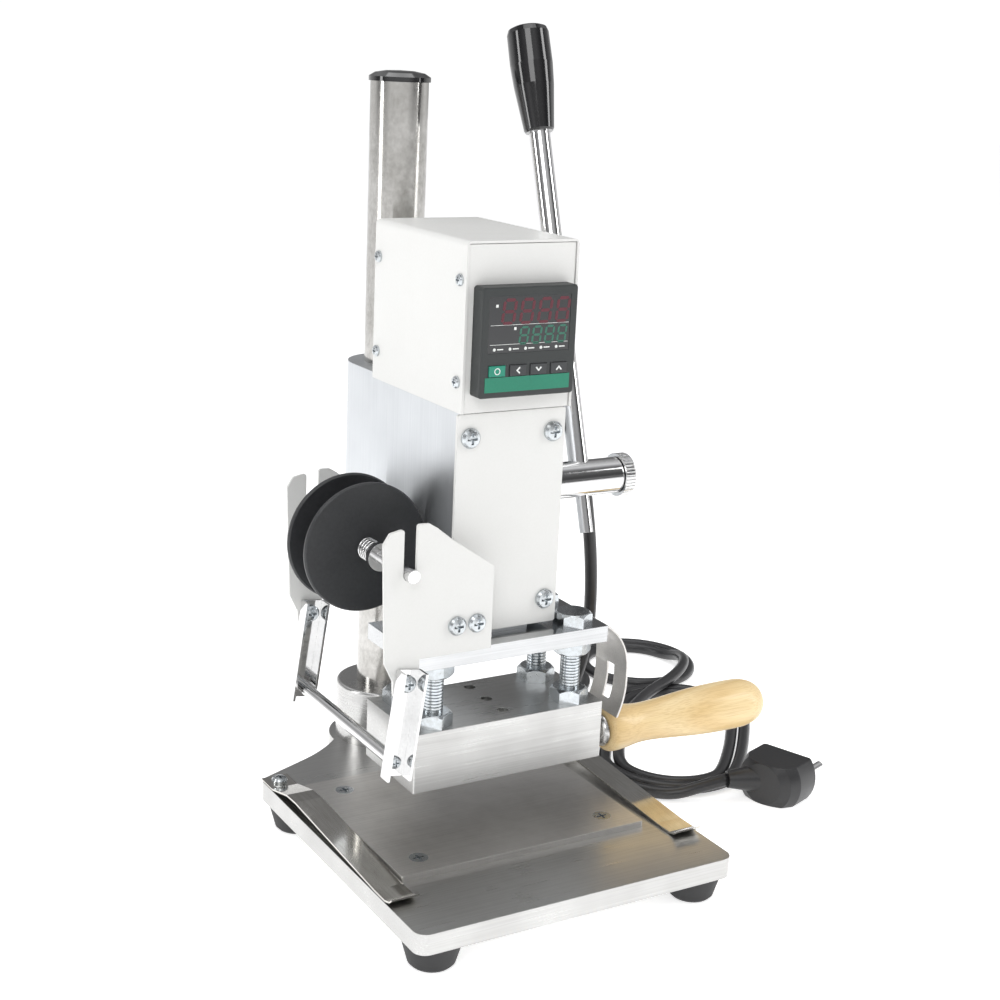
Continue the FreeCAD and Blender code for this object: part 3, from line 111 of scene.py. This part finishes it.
def make_studio():
    world = bpy.data.worlds.new("studio")
    bpy.context.scene.world = world
    world.use_nodes = True
    tree = world.node_tree
    background = tree.nodes["Background"]
    coords = tree.nodes.new("ShaderNodeTexCoord")
    split = tree.nodes.new("ShaderNodeSeparateXYZ")
    ramp = tree.nodes.new("ShaderNodeValToRGB")
    span = tree.nodes.new("ShaderNodeMapRange")
    span.inputs["From Min"].default_value = -1
    tree.links.new(coords.outputs["Generated"], split.inputs[0])
    tree.links.new(split.outputs["Z"], span.inputs["Value"])
    tree.links.new(span.outputs[0], ramp.inputs[0])
    around = tree.nodes.new("ShaderNodeTexGradient")
    around.gradient_type = "RADIAL"
    bands = tree.nodes.new("ShaderNodeValToRGB")
    bands.color_ramp.elements[0].color = (0.22, 0.22, 0.22, 1)
    bands.color_ramp.elements[1].color = (0.22, 0.22, 0.22, 1)
    for place, grey in ((0.07, 0.85), (0.26, 1.0), (0.34, 0.18), (0.42, 0.22), (0.50, 1.0), (0.66, 0.30),
                        (0.74, 0.95), (0.86, 0.95), (0.92, 0.22)):
        bands.color_ramp.elements.new(place).color = (grey, grey, grey, 1)
    both = tree.nodes.new("ShaderNodeMix")
    both.data_type = "RGBA"
    both.blend_type = "MULTIPLY"
    both.inputs[0].default_value = 1.0
    seen = tree.nodes.new("ShaderNodeMix")
    seen.data_type = "RGBA"
    seen.inputs[7].default_value = (1.15, 1.15, 1.15, 1)
    tree.links.new(coords.outputs["Generated"], around.inputs[0])
    tree.links.new(around.outputs[0], bands.inputs[0])
    tree.links.new(ramp.outputs[0], both.inputs[6])
    tree.links.new(bands.outputs[0], both.inputs[7])
    tree.links.new(both.outputs[2], seen.inputs[6])
    tree.links.new(tree.nodes.new("ShaderNodeLightPath").outputs["Is Camera Ray"], seen.inputs[0])
    tree.links.new(seen.outputs[2], background.inputs["Color"])
    stops = ramp.color_ramp.elements
    stops[0].position, stops[0].color = 0.47, (1, 1, 1, 1)
    stops[1].position, stops[1].color = 1.0, (0.95, 0.96, 0.98, 1)
    for place, grey in ((0.575, 1.0), (0.61, 0.45), (0.69, 0.45), (0.82, 0.80)):
        stop = stops.new(place)
        stop.color = (grey, grey, grey * 1.01, 1)
    background.inputs["Strength"].default_value = 0.9
    bpy.context.scene.view_settings.view_transform = "Standard"

    area_light("key", (-0.9, -1.2, 1.3), (0, 0, 0.15), (0.9, 0.9), 8.5)
    area_light("strip_left", (-1.3, 0.3, 0.5), (0, 0, 0.15), (0.25, 1.3), 6)
    area_light("strip_right", (1.2, -0.7, 0.7), (0, 0, 0.15), (0.35, 1.2), 7)
    area_light("top", (0.1, 0.2, 1.5), (0, 0, 0), (1.2, 1.2), 8)

    mesh = bpy.data.meshes.new("floor")
    reach, level = 6.0, cad_bounds[0][2]
    corners = [(-reach, -reach, level), (reach, -reach, level), (reach, reach, level), (-reach, reach, level)]
    mesh.from_pydata(corners, [], [(0, 1, 2, 3)])
    floor = bpy.data.objects.new("floor", mesh)
    bpy.context.scene.collection.objects.link(floor)
    paper = bpy.data.materials.new("floor_paper")
    paper.use_nodes = True
    shader = paper.node_tree.nodes["Principled BSDF"]
    shader.inputs["Base Color"].default_value = (0.93, 0.93, 0.93, 1)
    shader.inputs["Roughness"].default_value = 0.9
    shader.inputs["Emission Color"].default_value = (1, 1, 1, 1)
    shader.inputs["Emission Strength"].default_value = 0.6
    mesh.materials.append(paper)


# ---------------------------------------------------------------- materials
def surface(name, colour, shade, rough, metallic=0.0, grain=(300, 300, 300), detail=4.0, bump=0.0,
            bump_grain=None, patches=25.0, edge=0.0, **shader_values):
    """Procedural surface. Patches and a grain vary colour and roughness, a finer grain is its relief."""
    made = bpy.data.materials.new(name)
    made.use_nodes = True
    tree = made.node_tree
    shader = tree.nodes["Principled BSDF"]
    shader.inputs["Metallic"].default_value = metallic
    for key, value in shader_values.items():
        shader.inputs[key.replace("_", " ").title()].default_value = value
    place = tree.nodes.new("ShaderNodeTexCoord").outputs["Object"]

    def noise(scale, octaves=detail, roughness=0.6):
        mapping = tree.nodes.new("ShaderNodeMapping")
        mapping.inputs["Scale"].default_value = scale
        texture = tree.nodes.new("ShaderNodeTexNoise")
        texture.inputs["Scale"].default_value = 1.0
        texture.inputs["Detail"].default_value = octaves
        texture.inputs["Roughness"].default_value = roughness
        tree.links.new(place, mapping.inputs["Vector"])
        tree.links.new(mapping.outputs[0], texture.inputs["Vector"])
        return texture.outputs["Fac"]

    def spread(value, low, high, start=0.3, stop=0.7):
        node = tree.nodes.new("ShaderNodeMapRange")
        for key, number in (("From Min", start), ("From Max", stop), ("To Min", low), ("To Max", high)):
            node.inputs[key].default_value = number
        tree.links.new(value, node.inputs["Value"])
        return node.outputs[0]

    def average(a, b):
        node = tree.nodes.new("ShaderNodeMath")
        node.operation = "ADD"
        half = tree.nodes.new("ShaderNodeMath")
        half.operation = "MULTIPLY"
        half.inputs[1].default_value = 0.5
        tree.links.new(a, node.inputs[0])
        tree.links.new(b, node.inputs[1])
        tree.links.new(node.outputs[0], half.inputs[0])
        return half.outputs[0]

    fine = noise(grain)
    broad = noise((patches, patches, patches), 3.0)
    both = average(fine, broad)
    mix = tree.nodes.new("ShaderNodeMix")
    mix.data_type = "RGBA"
    mix.inputs[6].default_value = (*colour, 1)
    mix.inputs[7].default_value = (*shade, 1)
    tree.links.new(spread(both, 0, 1), mix.inputs[0])
    tree.links.new(mix.outputs[2], shader.inputs["Base Color"])
    tree.links.new(spread(both, *rough), shader.inputs["Roughness"])
    normal = None
    if edge:
        rounding = tree.nodes.new("ShaderNodeBevel")
        rounding.samples = 4
        rounding.inputs["Radius"].default_value = edge
        normal = rounding.outputs[0]
    if bump:
        relief = tree.nodes.new("ShaderNodeBump")
        relief.inputs["Strength"].default_value = 1.0
        relief.inputs["Distance"].default_value = bump
        tree.links.new(noise(bump_grain or grain), relief.inputs["Height"])
        if normal:
            tree.links.new(normal, relief.inputs["Normal"])
        normal = relief.outputs[0]
    if normal:
        tree.links.new(normal, shader.inputs["Normal"])
    return made


def wood():
    """Pale turned wood: growth rings cut lengthways, fine pores along the handle, clear varnish."""
    made = bpy.data.materials.new("varnished_wood")
    made.use_nodes = True
    tree = made.node_tree
    shader = tree.nodes["Principled BSDF"]
    shader.inputs["Coat Weight"].default_value = 0.35
    shader.inputs["Coat Roughness"].default_value = 0.18
    place = tree.nodes.new("ShaderNodeTexCoord").outputs["Object"]

    def layer(kind, scale, **values):
        mapping = tree.nodes.new("ShaderNodeMapping")
        mapping.inputs["Scale"].default_value = scale
        mapping.inputs["Rotation"].default_value = (0.35, 0.12, 0.2)
        texture = tree.nodes.new(kind)
        for key, value in values.items():
            texture.inputs[key].default_value = value
        tree.links.new(place, mapping.inputs["Vector"])
        tree.links.new(mapping.outputs[0], texture.inputs["Vector"])
        return texture

    rings = layer("ShaderNodeTexWave", (6, 130, 40), Scale=1.0, Distortion=5.0, Detail=3.0)
    pores = layer("ShaderNodeTexNoise", (60, 2600, 2600), Scale=1.0, Detail=4.0)
    ramp = tree.nodes.new("ShaderNodeValToRGB")
    ramp.color_ramp.elements[0].color = (0.78, 0.565, 0.27, 1)
    ramp.color_ramp.elements[1].color = (0.86, 0.67, 0.37, 1)
    tree.links.new(rings.outputs["Fac"], ramp.inputs[0])
    mix = tree.nodes.new("ShaderNodeMix")
    mix.data_type = "RGBA"
    mix.blend_type = "MULTIPLY"
    mix.inputs[0].default_value = 0.35
    shade = tree.nodes.new("ShaderNodeValToRGB")
    shade.color_ramp.elements[0].position = 0.35
    shade.color_ramp.elements[0].color = (0.62, 0.50, 0.36, 1)
    shade.color_ramp.elements[1].position = 0.55
    tree.links.new(pores.outputs["Fac"], shade.inputs[0])
    tree.links.new(ramp.outputs[0], mix.inputs[6])
    tree.links.new(shade.outputs[0], mix.inputs[7])
    tree.links.new(mix.outputs[2], shader.inputs["Base Color"])
    gloss = tree.nodes.new("ShaderNodeMapRange")
    gloss.inputs["To Min"].default_value = 0.34
    gloss.inputs["To Max"].default_value = 0.5
    tree.links.new(pores.outputs["Fac"], gloss.inputs["Value"])
    tree.links.new(gloss.outputs[0], shader.inputs["Roughness"])
    relief = tree.nodes.new("ShaderNodeBump")
    relief.inputs["Distance"].default_value = 0.00006
    tree.links.new(pores.outputs["Fac"], relief.inputs["Height"])
    tree.links.new(relief.outputs[0], shader.inputs["Normal"])
    return made


ALONG_X, ALONG_Y, ALONG_Z = (12, 1500, 1500), (1500, 12, 1500), (1500, 1500, 12)

MATERIALS = {
    "milled_aluminium": surface("milled_aluminium", (0.64, 0.64, 0.63), (0.47, 0.465, 0.455),
                                (0.24, 0.40), 1.0, ALONG_X, bump=0.000012, edge=0.0004),
    "bright_plate": surface("bright_plate", (0.66, 0.67, 0.68), (0.48, 0.485, 0.49), (0.08, 0.2), 1.0,
                            ALONG_X, bump=0.000004, edge=0.0004),
    "satin_aluminium": surface("satin_aluminium", (0.68, 0.70, 0.72), (0.60, 0.62, 0.64), (0.36, 0.5), 1.0,
                               ALONG_Z, bump=0.00001, edge=0.0004),
    "brushed_steel": surface("brushed_steel", (0.76, 0.745, 0.72), (0.56, 0.545, 0.525), (0.30, 0.46), 1.0,
                             ALONG_X, bump=0.000016, edge=0.0003, patches=60),
    "turned_steel": surface("turned_steel", (0.66, 0.66, 0.65), (0.46, 0.455, 0.45), (0.20, 0.34), 1.0,
                            (120, 120, 2200), bump=0.000008, edge=0.0003),
    "mirror_strip": surface("mirror_strip", (0.76, 0.75, 0.72), (0.50, 0.48, 0.44), (0.04, 0.14), 1.0,
                            ALONG_Y, bump=0.000003, edge=0.0002),
    "chrome": surface("chrome", (0.80, 0.80, 0.80), (0.70, 0.70, 0.70), (0.05, 0.13), 1.0,
                      (700, 700, 700), bump=0.000002, edge=0.0002, patches=40),
    "worn_chrome": surface("worn_chrome", (0.62, 0.61, 0.59), (0.36, 0.35, 0.33), (0.07, 0.26), 1.0,
                           (420, 420, 300), detail=7.0, bump=0.000004, patches=38),
    "zinc": surface("zinc", (0.64, 0.68, 0.72), (0.46, 0.48, 0.48), (0.16, 0.32), 1.0,
                    (600, 600, 600), bump=0.000008, edge=0.0002, patches=130),
    "white_paint": surface("white_paint", (0.74, 0.74, 0.725), (0.71, 0.71, 0.69), (0.30, 0.42), 0.0,
                           (900, 900, 900), bump=0.000022, bump_grain=(1700, 1700, 1700), edge=0.0003),
    "black_rubber": surface("black_rubber", (0.022, 0.022, 0.023), (0.035, 0.035, 0.036), (0.55, 0.75), 0.0,
                            (1200, 1200, 1200), bump=0.00003, edge=0.0004),
    "gloss_black": surface("gloss_black", (0.008, 0.008, 0.009), (0.014, 0.014, 0.015), (0.06, 0.16), 0.0,
                           (500, 500, 500), bump=0.000003, coat_weight=0.5),
    "disc_black": surface("disc_black", (0.022, 0.023, 0.025), (0.038, 0.039, 0.042), (0.34, 0.5), 0.0,
                          (700, 700, 700), bump=0.00001, edge=0.0003),
    "meter_case": surface("meter_case", (0.022, 0.026, 0.026), (0.032, 0.036, 0.036), (0.4, 0.52), 0.0,
                          (1500, 1500, 1500), bump=0.00002, edge=0.0002),
    "meter_window": surface("meter_window", (0.010, 0.011, 0.013), (0.014, 0.015, 0.017), (0.05, 0.1), 0.0,
                            coat_weight=0.6),
    "bronze": surface("bronze", (0.62, 0.45, 0.22), (0.48, 0.34, 0.17), (0.2, 0.36), 1.0,
                      ALONG_X, edge=0.0002),
    "black_pvc": surface("black_pvc", (0.016, 0.016, 0.017), (0.026, 0.026, 0.028), (0.28, 0.42), 0.0,
                         (900, 900, 900), bump=0.000012, edge=0.0005),
    "key_dark": surface("key_dark", (0.045, 0.048, 0.05), (0.035, 0.037, 0.04), (0.35, 0.5), 0.0,
                        (900, 900, 900), bump=0.00001),
    "key_green": surface("key_green", (0.015, 0.26, 0.17), (0.012, 0.21, 0.14), (0.35, 0.5), 0.0,
                         (900, 900, 900), bump=0.00001),
    "strip_green": surface("strip_green", (0.012, 0.22, 0.13), (0.01, 0.18, 0.11), (0.3, 0.42), 0.0,
                           (900, 900, 900), bump=0.000008),
    "print_white": surface("print_white", (0.78, 0.80, 0.78), (0.70, 0.72, 0.70), (0.4, 0.5)),
    "print_black": surface("print_black", (0.02, 0.02, 0.02), (0.03, 0.03, 0.03), (0.4, 0.5)),
    "segment_red": surface("segment_red", (0.12, 0.018, 0.03), (0.09, 0.015, 0.025), (0.3, 0.4)),
    "segment_green": surface("segment_green", (0.035, 0.16, 0.11), (0.03, 0.13, 0.09), (0.3, 0.4)),
    "switch_red": surface("switch_red", (0.45, 0.02, 0.02), (0.38, 0.02, 0.02), (0.12, 0.2), 0.0,
                          coat_weight=0.4),
    "wood": wood(),
}

LOOK_OF_NODE = {
    "milled_aluminium": ("base_plate", "heating_block", "die_plate"),
    "bright_plate": ("upper_plate",),
    "satin_aluminium": ("head_housing", "reel_rail", "ram"),
    "brushed_steel": ("work_plate", "lead_guard"),
    "turned_steel": ("column_collar", "pinion", "heating_elements", "shaft_washer", "handle_rod"),
    "mirror_strip": ("leaf_clips",),
    "chrome": ("lever_rod", "lever_shaft", "lock_knob", "guide_rods", "guide_rod", "guide_arms",
               "plug_pins", "reel_shaft", "reel_spring", "return_springs"),
    "worn_chrome": ("column",),
    "zinc": ("stand_screws", "head_screws", "reel_carrier_screws", "levelling_bolts", "levelling_nuts",
             "guide_rod_screws", "arm_pivot_screws"),
    "white_paint": ("front_panel", "control_case", "case_front", "reel_bracket_front", "reel_bracket_rear"),
    "black_rubber": ("rubber_feet",),
    "gloss_black": ("lever_grip", "column_cap", "switch_frame"),
    "disc_black": ("reel_discs", "reel_core"),
    "meter_case": ("controller_bezel", "controller_body"),
    "meter_window": ("controller_window",),
    "bronze": ("head_bushes",),
    "black_pvc": ("cable_gland", "plug_body", "cord_drop", "cord_coil_back", "cord_coil_front",
                  "cord_tail"),
    "key_green": ("key_set",),
    "key_dark": ("key_shift", "key_down", "key_up"),
    "switch_red": ("switch_rocker",),
    "wood": ("wood_handle",),
}


def dress_nodes():
    for look, names in LOOK_OF_NODE.items():
        for name in names:
            mesh = nodes[name].data
            if not mesh.materials:
                mesh.materials.append(None)
            for slot in nodes[name].material_slots:
                slot.material = MATERIALS[look]


# ---------------------------------------------------------------- mesh helpers
def new_piece(name, mesh, look, body, smooth=False):
    piece = bpy.data.objects.new(name, mesh)
    bpy.context.scene.collection.objects.link(piece)
    mesh.materials.append(MATERIALS[look])
    for face in mesh.polygons:
        face.use_smooth = smooth
    if body:
        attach(piece, body)
    return piece


def plates(outlines, y_back, thickness):
    """One mesh of flat plates: each outline is a list of (x, z) corners, standing out towards -Y."""
    built = bmesh.new()
    for outline in outlines:
        front = [built.verts.new((x, y_back - thickness, z)) for x, z in outline]
        back = [built.verts.new((x, y_back, z)) for x, z in outline]
        count = len(outline)
        built.faces.new(front)
        built.faces.new(list(reversed(back)))
        for i in range(count):
            j = (i + 1) % count
            built.faces.new((front[j], front[i], back[i], back[j]))
    bmesh.ops.recalc_face_normals(built, faces=built.faces)
    mesh = bpy.data.meshes.new("plates")
    built.to_mesh(mesh)
    built.free()
    return mesh


def rectangle(x0, x1, z0, z1):
    return [(x0, z0), (x1, z0), (x1, z1), (x0, z1)]


# ---------------------------------------------------------------- mains cord
CORD_D = 0.0065
FLOOR = cad_bounds[0][2]
ON_FLOOR = FLOOR + CORD_D / 2 + 0.00015
OVER = ON_FLOOR + 0.0072       # a strand that lies across another
CORD_EXIT = (0.0470, 0.0440, 0.1750)
DROP = [CORD_EXIT, (0.0630, 0.0446, 0.1740), (0.0760, 0.0460, 0.1590), (0.0820, 0.0480, 0.1350),
        (0.0880, 0.0500, 0.1080), (0.0925, 0.0530, 0.0820), (0.0960, 0.0580, 0.0560),
        (0.0975, 0.0660, 0.0310), (0.0970, 0.0780, 0.0080), (0.0980, 0.0930, -0.0090),
        (0.1060, 0.1100, -0.0190), (0.1200, 0.1260, ON_FLOOR), (0.1380, 0.1380, ON_FLOOR),
        (0.1560, 0.1490, ON_FLOOR), (0.1680, 0.1620, ON_FLOOR), (0.1700, 0.1780, ON_FLOOR)]
TAIL = [(0.1130, 0.0105, ON_FLOOR), (0.1210, 0.0035, ON_FLOOR + 0.0012),
        (0.1320, -0.0005, ON_FLOOR + 0.0046),
        (0.1460, -0.0045, -0.0136)]
PER_TURN = 18                  # points in one turn of a loop
LONG_AXIS = math.radians(49)   # of the front loops, from +X
STRAIGHTEN = 4.0               # how fast a loop's centre passes from one end to the other


def loop_points(centre, radii, angles, half=0.0):
    """Points of loose turns on the floor. The radius goes from one value to the other as the angle does;
    half stretches each turn along the long axis, from its centre to the centre of either end."""
    count = round(abs(angles[1] - angles[0]) / 360 * PER_TURN)
    points = []
    for i in range(count + 1):
        share = i / count
        angle = math.radians(angles[0] + (angles[1] - angles[0]) * share)
        radius = radii[0] + (radii[1] - radii[0]) * share
        shift = half * max(-1.0, min(1.0, STRAIGHTEN * math.cos(angle - LONG_AXIS)))
        points.append((centre[0] + radius * math.cos(angle) + shift * math.cos(LONG_AXIS),
                       centre[1] + radius * math.sin(angle) + shift * math.sin(LONG_AXIS), ON_FLOOR))
    return points


def cord_route():
    back = loop_points((0.210, 0.172), (0.0395, 0.0290), (155, -325))
    front = loop_points((0.165, 0.068), (0.0285, 0.0445), (139, 929), half=0.032)
    crossing = [(0.2385, 0.1760, ON_FLOOR), (0.2370, 0.1600, ON_FLOOR + 0.0060),
                (0.2290, 0.1450, OVER + 0.0012), (0.2170, 0.1335, OVER + 0.0012), (0.2010, 0.1245, OVER),
                (0.1830, 0.1160, OVER), (0.1650, 0.1040, OVER)]
    front[0] = (*front[0][:2], OVER)
    front[1] = (*front[1][:2], ON_FLOOR + 0.003)
    return DROP + back + crossing + front + TAIL


def smooth_path(points):
    """Points read along the route's NURBS line."""
    curve = bpy.data.curves.new("route", "CURVE")
    curve.dimensions = "3D"
    line = curve.splines.new("NURBS")
    line.points.add(len(points) - 1)
    for knot, point in zip(line.points, points):
        knot.co = (*point, 1)
    line.order_u = 3
    line.use_endpoint_u = True
    line.resolution_u = 8
    holder = bpy.data.objects.new("route", curve)
    bpy.context.scene.collection.objects.link(holder)
    bpy.context.view_layer.update()
    read = bpy.data.meshes.new_from_object(holder)
    path = [v.co.copy() for v in read.vertices]
    bpy.data.objects.remove(holder)
    return path


def tube(path, radius, sides=20):
    """Round tube along a path, with closed ends; its rings don't twist."""
    built = bmesh.new()
    side = Vector((0, 1, 0))
    rings = []
    for i, point in enumerate(path):
        ahead = (path[min(i + 1, len(path) - 1)] - path[max(i - 1, 0)]).normalized()
        side = (side - ahead * side.dot(ahead)).normalized()
        other = ahead.cross(side)
        ring = []
        for k in range(sides):
            angle = 2 * math.pi * k / sides
            outwards = side * math.cos(angle) + other * math.sin(angle)
            ring.append(built.verts.new(point + outwards * radius))
        rings.append(ring)
    for a, b in zip(rings, rings[1:]):
        for k in range(sides):
            n = (k + 1) % sides
            built.faces.new((a[k], a[n], b[n], b[k]))
    built.faces.new(list(reversed(rings[0])))
    built.faces.new(rings[-1])
    bmesh.ops.recalc_face_normals(built, faces=built.faces)
    mesh = bpy.data.meshes.new("tube")
    built.to_mesh(mesh)
    built.free()
    return mesh


def make_cord():
    path = smooth_path(cord_route())
    cord = new_piece("mains_cord", tube(path, CORD_D / 2), "black_pvc", None, smooth=True)
    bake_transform(cord)
    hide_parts("cord_drop", "cord_coil_back", "cord_coil_front", "cord_tail")


# ---------------------------------------------------------------- controller's face
def digit(x, z, width, height, stroke):
    """Seven segments of one figure eight, leaning like a display's."""
    lean = 0.12
    gap = stroke * 0.22

    def tilt(points):
        return [(x + px + pz * lean, z + pz) for px, pz in points]

    w, h, s = width / 2, height / 2, stroke
    shapes = []
    for level in (-h, 0.0, h):
        a, b, t = -w + gap, w - gap, s / 2
        shapes.append(tilt([(a, level), (a + t, level - t), (b - t, level - t), (b, level),
                            (b - t, level + t), (a + t, level + t)]))
    for across in (-w, w):
        for low, high in ((-h + gap, -gap), (gap, h - gap)):
            t = s / 2
            shapes.append(tilt([(across, low), (across + t, low + t), (across + t, high - t),
                                (across, high), (across - t, high - t), (across - t, low + t)]))
    return shapes


def make_display():
    (x0, y, z0), (x1, _, z1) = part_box("controller_window")
    red, green = [], []
    for i in range(4):
        red += digit(-0.0105 + i * 0.0090, z1 - 0.0066, 0.0056, 0.0100, 0.0014)
        green += digit(-0.0026 + i * 0.0064, z1 - 0.0171, 0.0039, 0.0070, 0.0010)
    new_piece("display_upper", plates(red, y, SKIN), "segment_red", "head")
    new_piece("display_lower", plates(green, y, SKIN), "segment_green", "head")
    marks = [rectangle(-0.0172, -0.0160, z1 - 0.0046, z1 - 0.0034),
             rectangle(-0.0078, -0.0066, z1 - 0.0146, z1 - 0.0134)]
    for height in (z1 - 0.0124, z0 + 0.0036):
        marks.append(rectangle(x0 + 0.0010, x1 - 0.0006, height, height + 0.00018))
    for i in range(5):
        x = -0.0172 + i * 0.0078
        marks.append([(x + 0.0007 * math.cos(a), z0 + 0.0016 + 0.0007 * math.sin(a))
                      for a in (math.tau * k / 12 for k in range(12))])
        marks.append(rectangle(x + 0.0014, x + 0.0044, z0 + 0.00135, z0 + 0.00185))
    new_piece("display_marks", plates(marks, y, SKIN), "print_white", "head")


def make_keypad_strip():
    """Green band under the keys."""
    (x0, y, z0), (x1, _, _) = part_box("controller_bezel")
    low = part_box("key_set")[0][2] - 0.0003
    left, right = x0 + 0.0026, x1 - 0.0026
    new_piece("keypad_strip", plates([rectangle(left, right, z0 + 0.0026, low)], y, 0.00015),
              "strip_green", "head")


def make_key_marks():
    arrow = [(-0.0016, -0.0007), (0, 0.0010), (0.0016, -0.0007), (0.0010, -0.0011), (0, 0.0001),
             (-0.0010, -0.0011)]
    inner, outer = 0.0011, 0.0015
    ring = []
    for i in range(16):
        a, b = math.tau * i / 16, math.tau * (i + 1) / 16
        ring.append([(r * math.cos(t), r * math.sin(t)) for r, t in
                     ((outer, a), (outer, b), (inner, b), (inner, a))])
    marks = {"key_set": ring, "key_up": [arrow], "key_down": [[(x, -z) for x, z in arrow]],
             "key_shift": [[(-z, x) for x, z in arrow]]}
    for name, outlines in marks.items():
        (x0, y, z0), (x1, _, z1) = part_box(name)
        cx, cz = (x0 + x1) / 2, (z0 + z1) / 2
        moved = [[(cx + x, cz + z) for x, z in outline] for outline in outlines]
        new_piece(name + "_mark", plates(moved, y, SKIN), "print_white", name)


# ---------------------------------------------------------------- small turned pieces
def lathe(profile, centre, sides=48):
    """Ring turned about an axis along X through centre: profile is a closed list of (x, radius)."""
    built = bmesh.new()
    rings = []
    for x, radius in profile:
        rings.append([built.verts.new((x, centre[1] + radius * math.cos(math.tau * k / sides),
                                       centre[2] + radius * math.sin(math.tau * k / sides)))
                      for k in range(sides)])
    for a, b in zip(rings, rings[1:] + rings[:1]):
        for k in range(sides):
            n = (k + 1) % sides
            built.faces.new((a[k], a[n], b[n], b[k]))
    bmesh.ops.recalc_face_normals(built, faces=built.faces)
    mesh = bpy.data.meshes.new("lathe")
    built.to_mesh(mesh)
    built.free()
    return mesh


def make_ferrule():
    (x0, y0, z0), (_, y1, z1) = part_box("wood_handle")
    centre = (x0, (y0 + y1) / 2, (z0 + z1) / 2)
    bore = 0.00355
    profile = [(x0 - 0.0002, bore), (x0 - 0.0034, bore), (x0 - 0.0040, 0.0052), (x0 - 0.0036, 0.0066),
               (x0 - 0.0022, 0.0076), (x0 - 0.0008, 0.0080), (x0 - 0.0002, 0.0079)]
    piece = new_piece("handle_ferrule", lathe(profile, centre), "turned_steel", "die_slide", smooth=True)


def make_return_springs():
    """The two springs round the guide rods."""
    (x0, y0, z0), (x1, y1, z1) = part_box("return_springs")
    wire, turns, steps = 0.00075, 7, 16
    outer = (y1 - y0) / 2
    middle_r, y = outer - wire, y0 + outer
    for name, x in (("return_spring_left", x0 + outer), ("return_spring_right", x1 - outer)):
        coil = []
        for i in range(turns * steps + 1):
            angle = math.tau * i / steps
            share = i / (turns * steps)
            height = z0 + wire + (z1 - z0 - 2 * wire) * share
            coil.append(Vector((x + middle_r * math.cos(angle), y + middle_r * math.sin(angle), height)))
        spring = new_piece(name, tube(coil, wire, 10), "chrome", "head", smooth=True)
        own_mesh(spring)
        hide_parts("return_springs")


make_camera()
make_cord()
dress_nodes()
make_display()
make_keypad_strip()
make_key_marks()
make_ferrule()
make_return_springs()
make_studio()
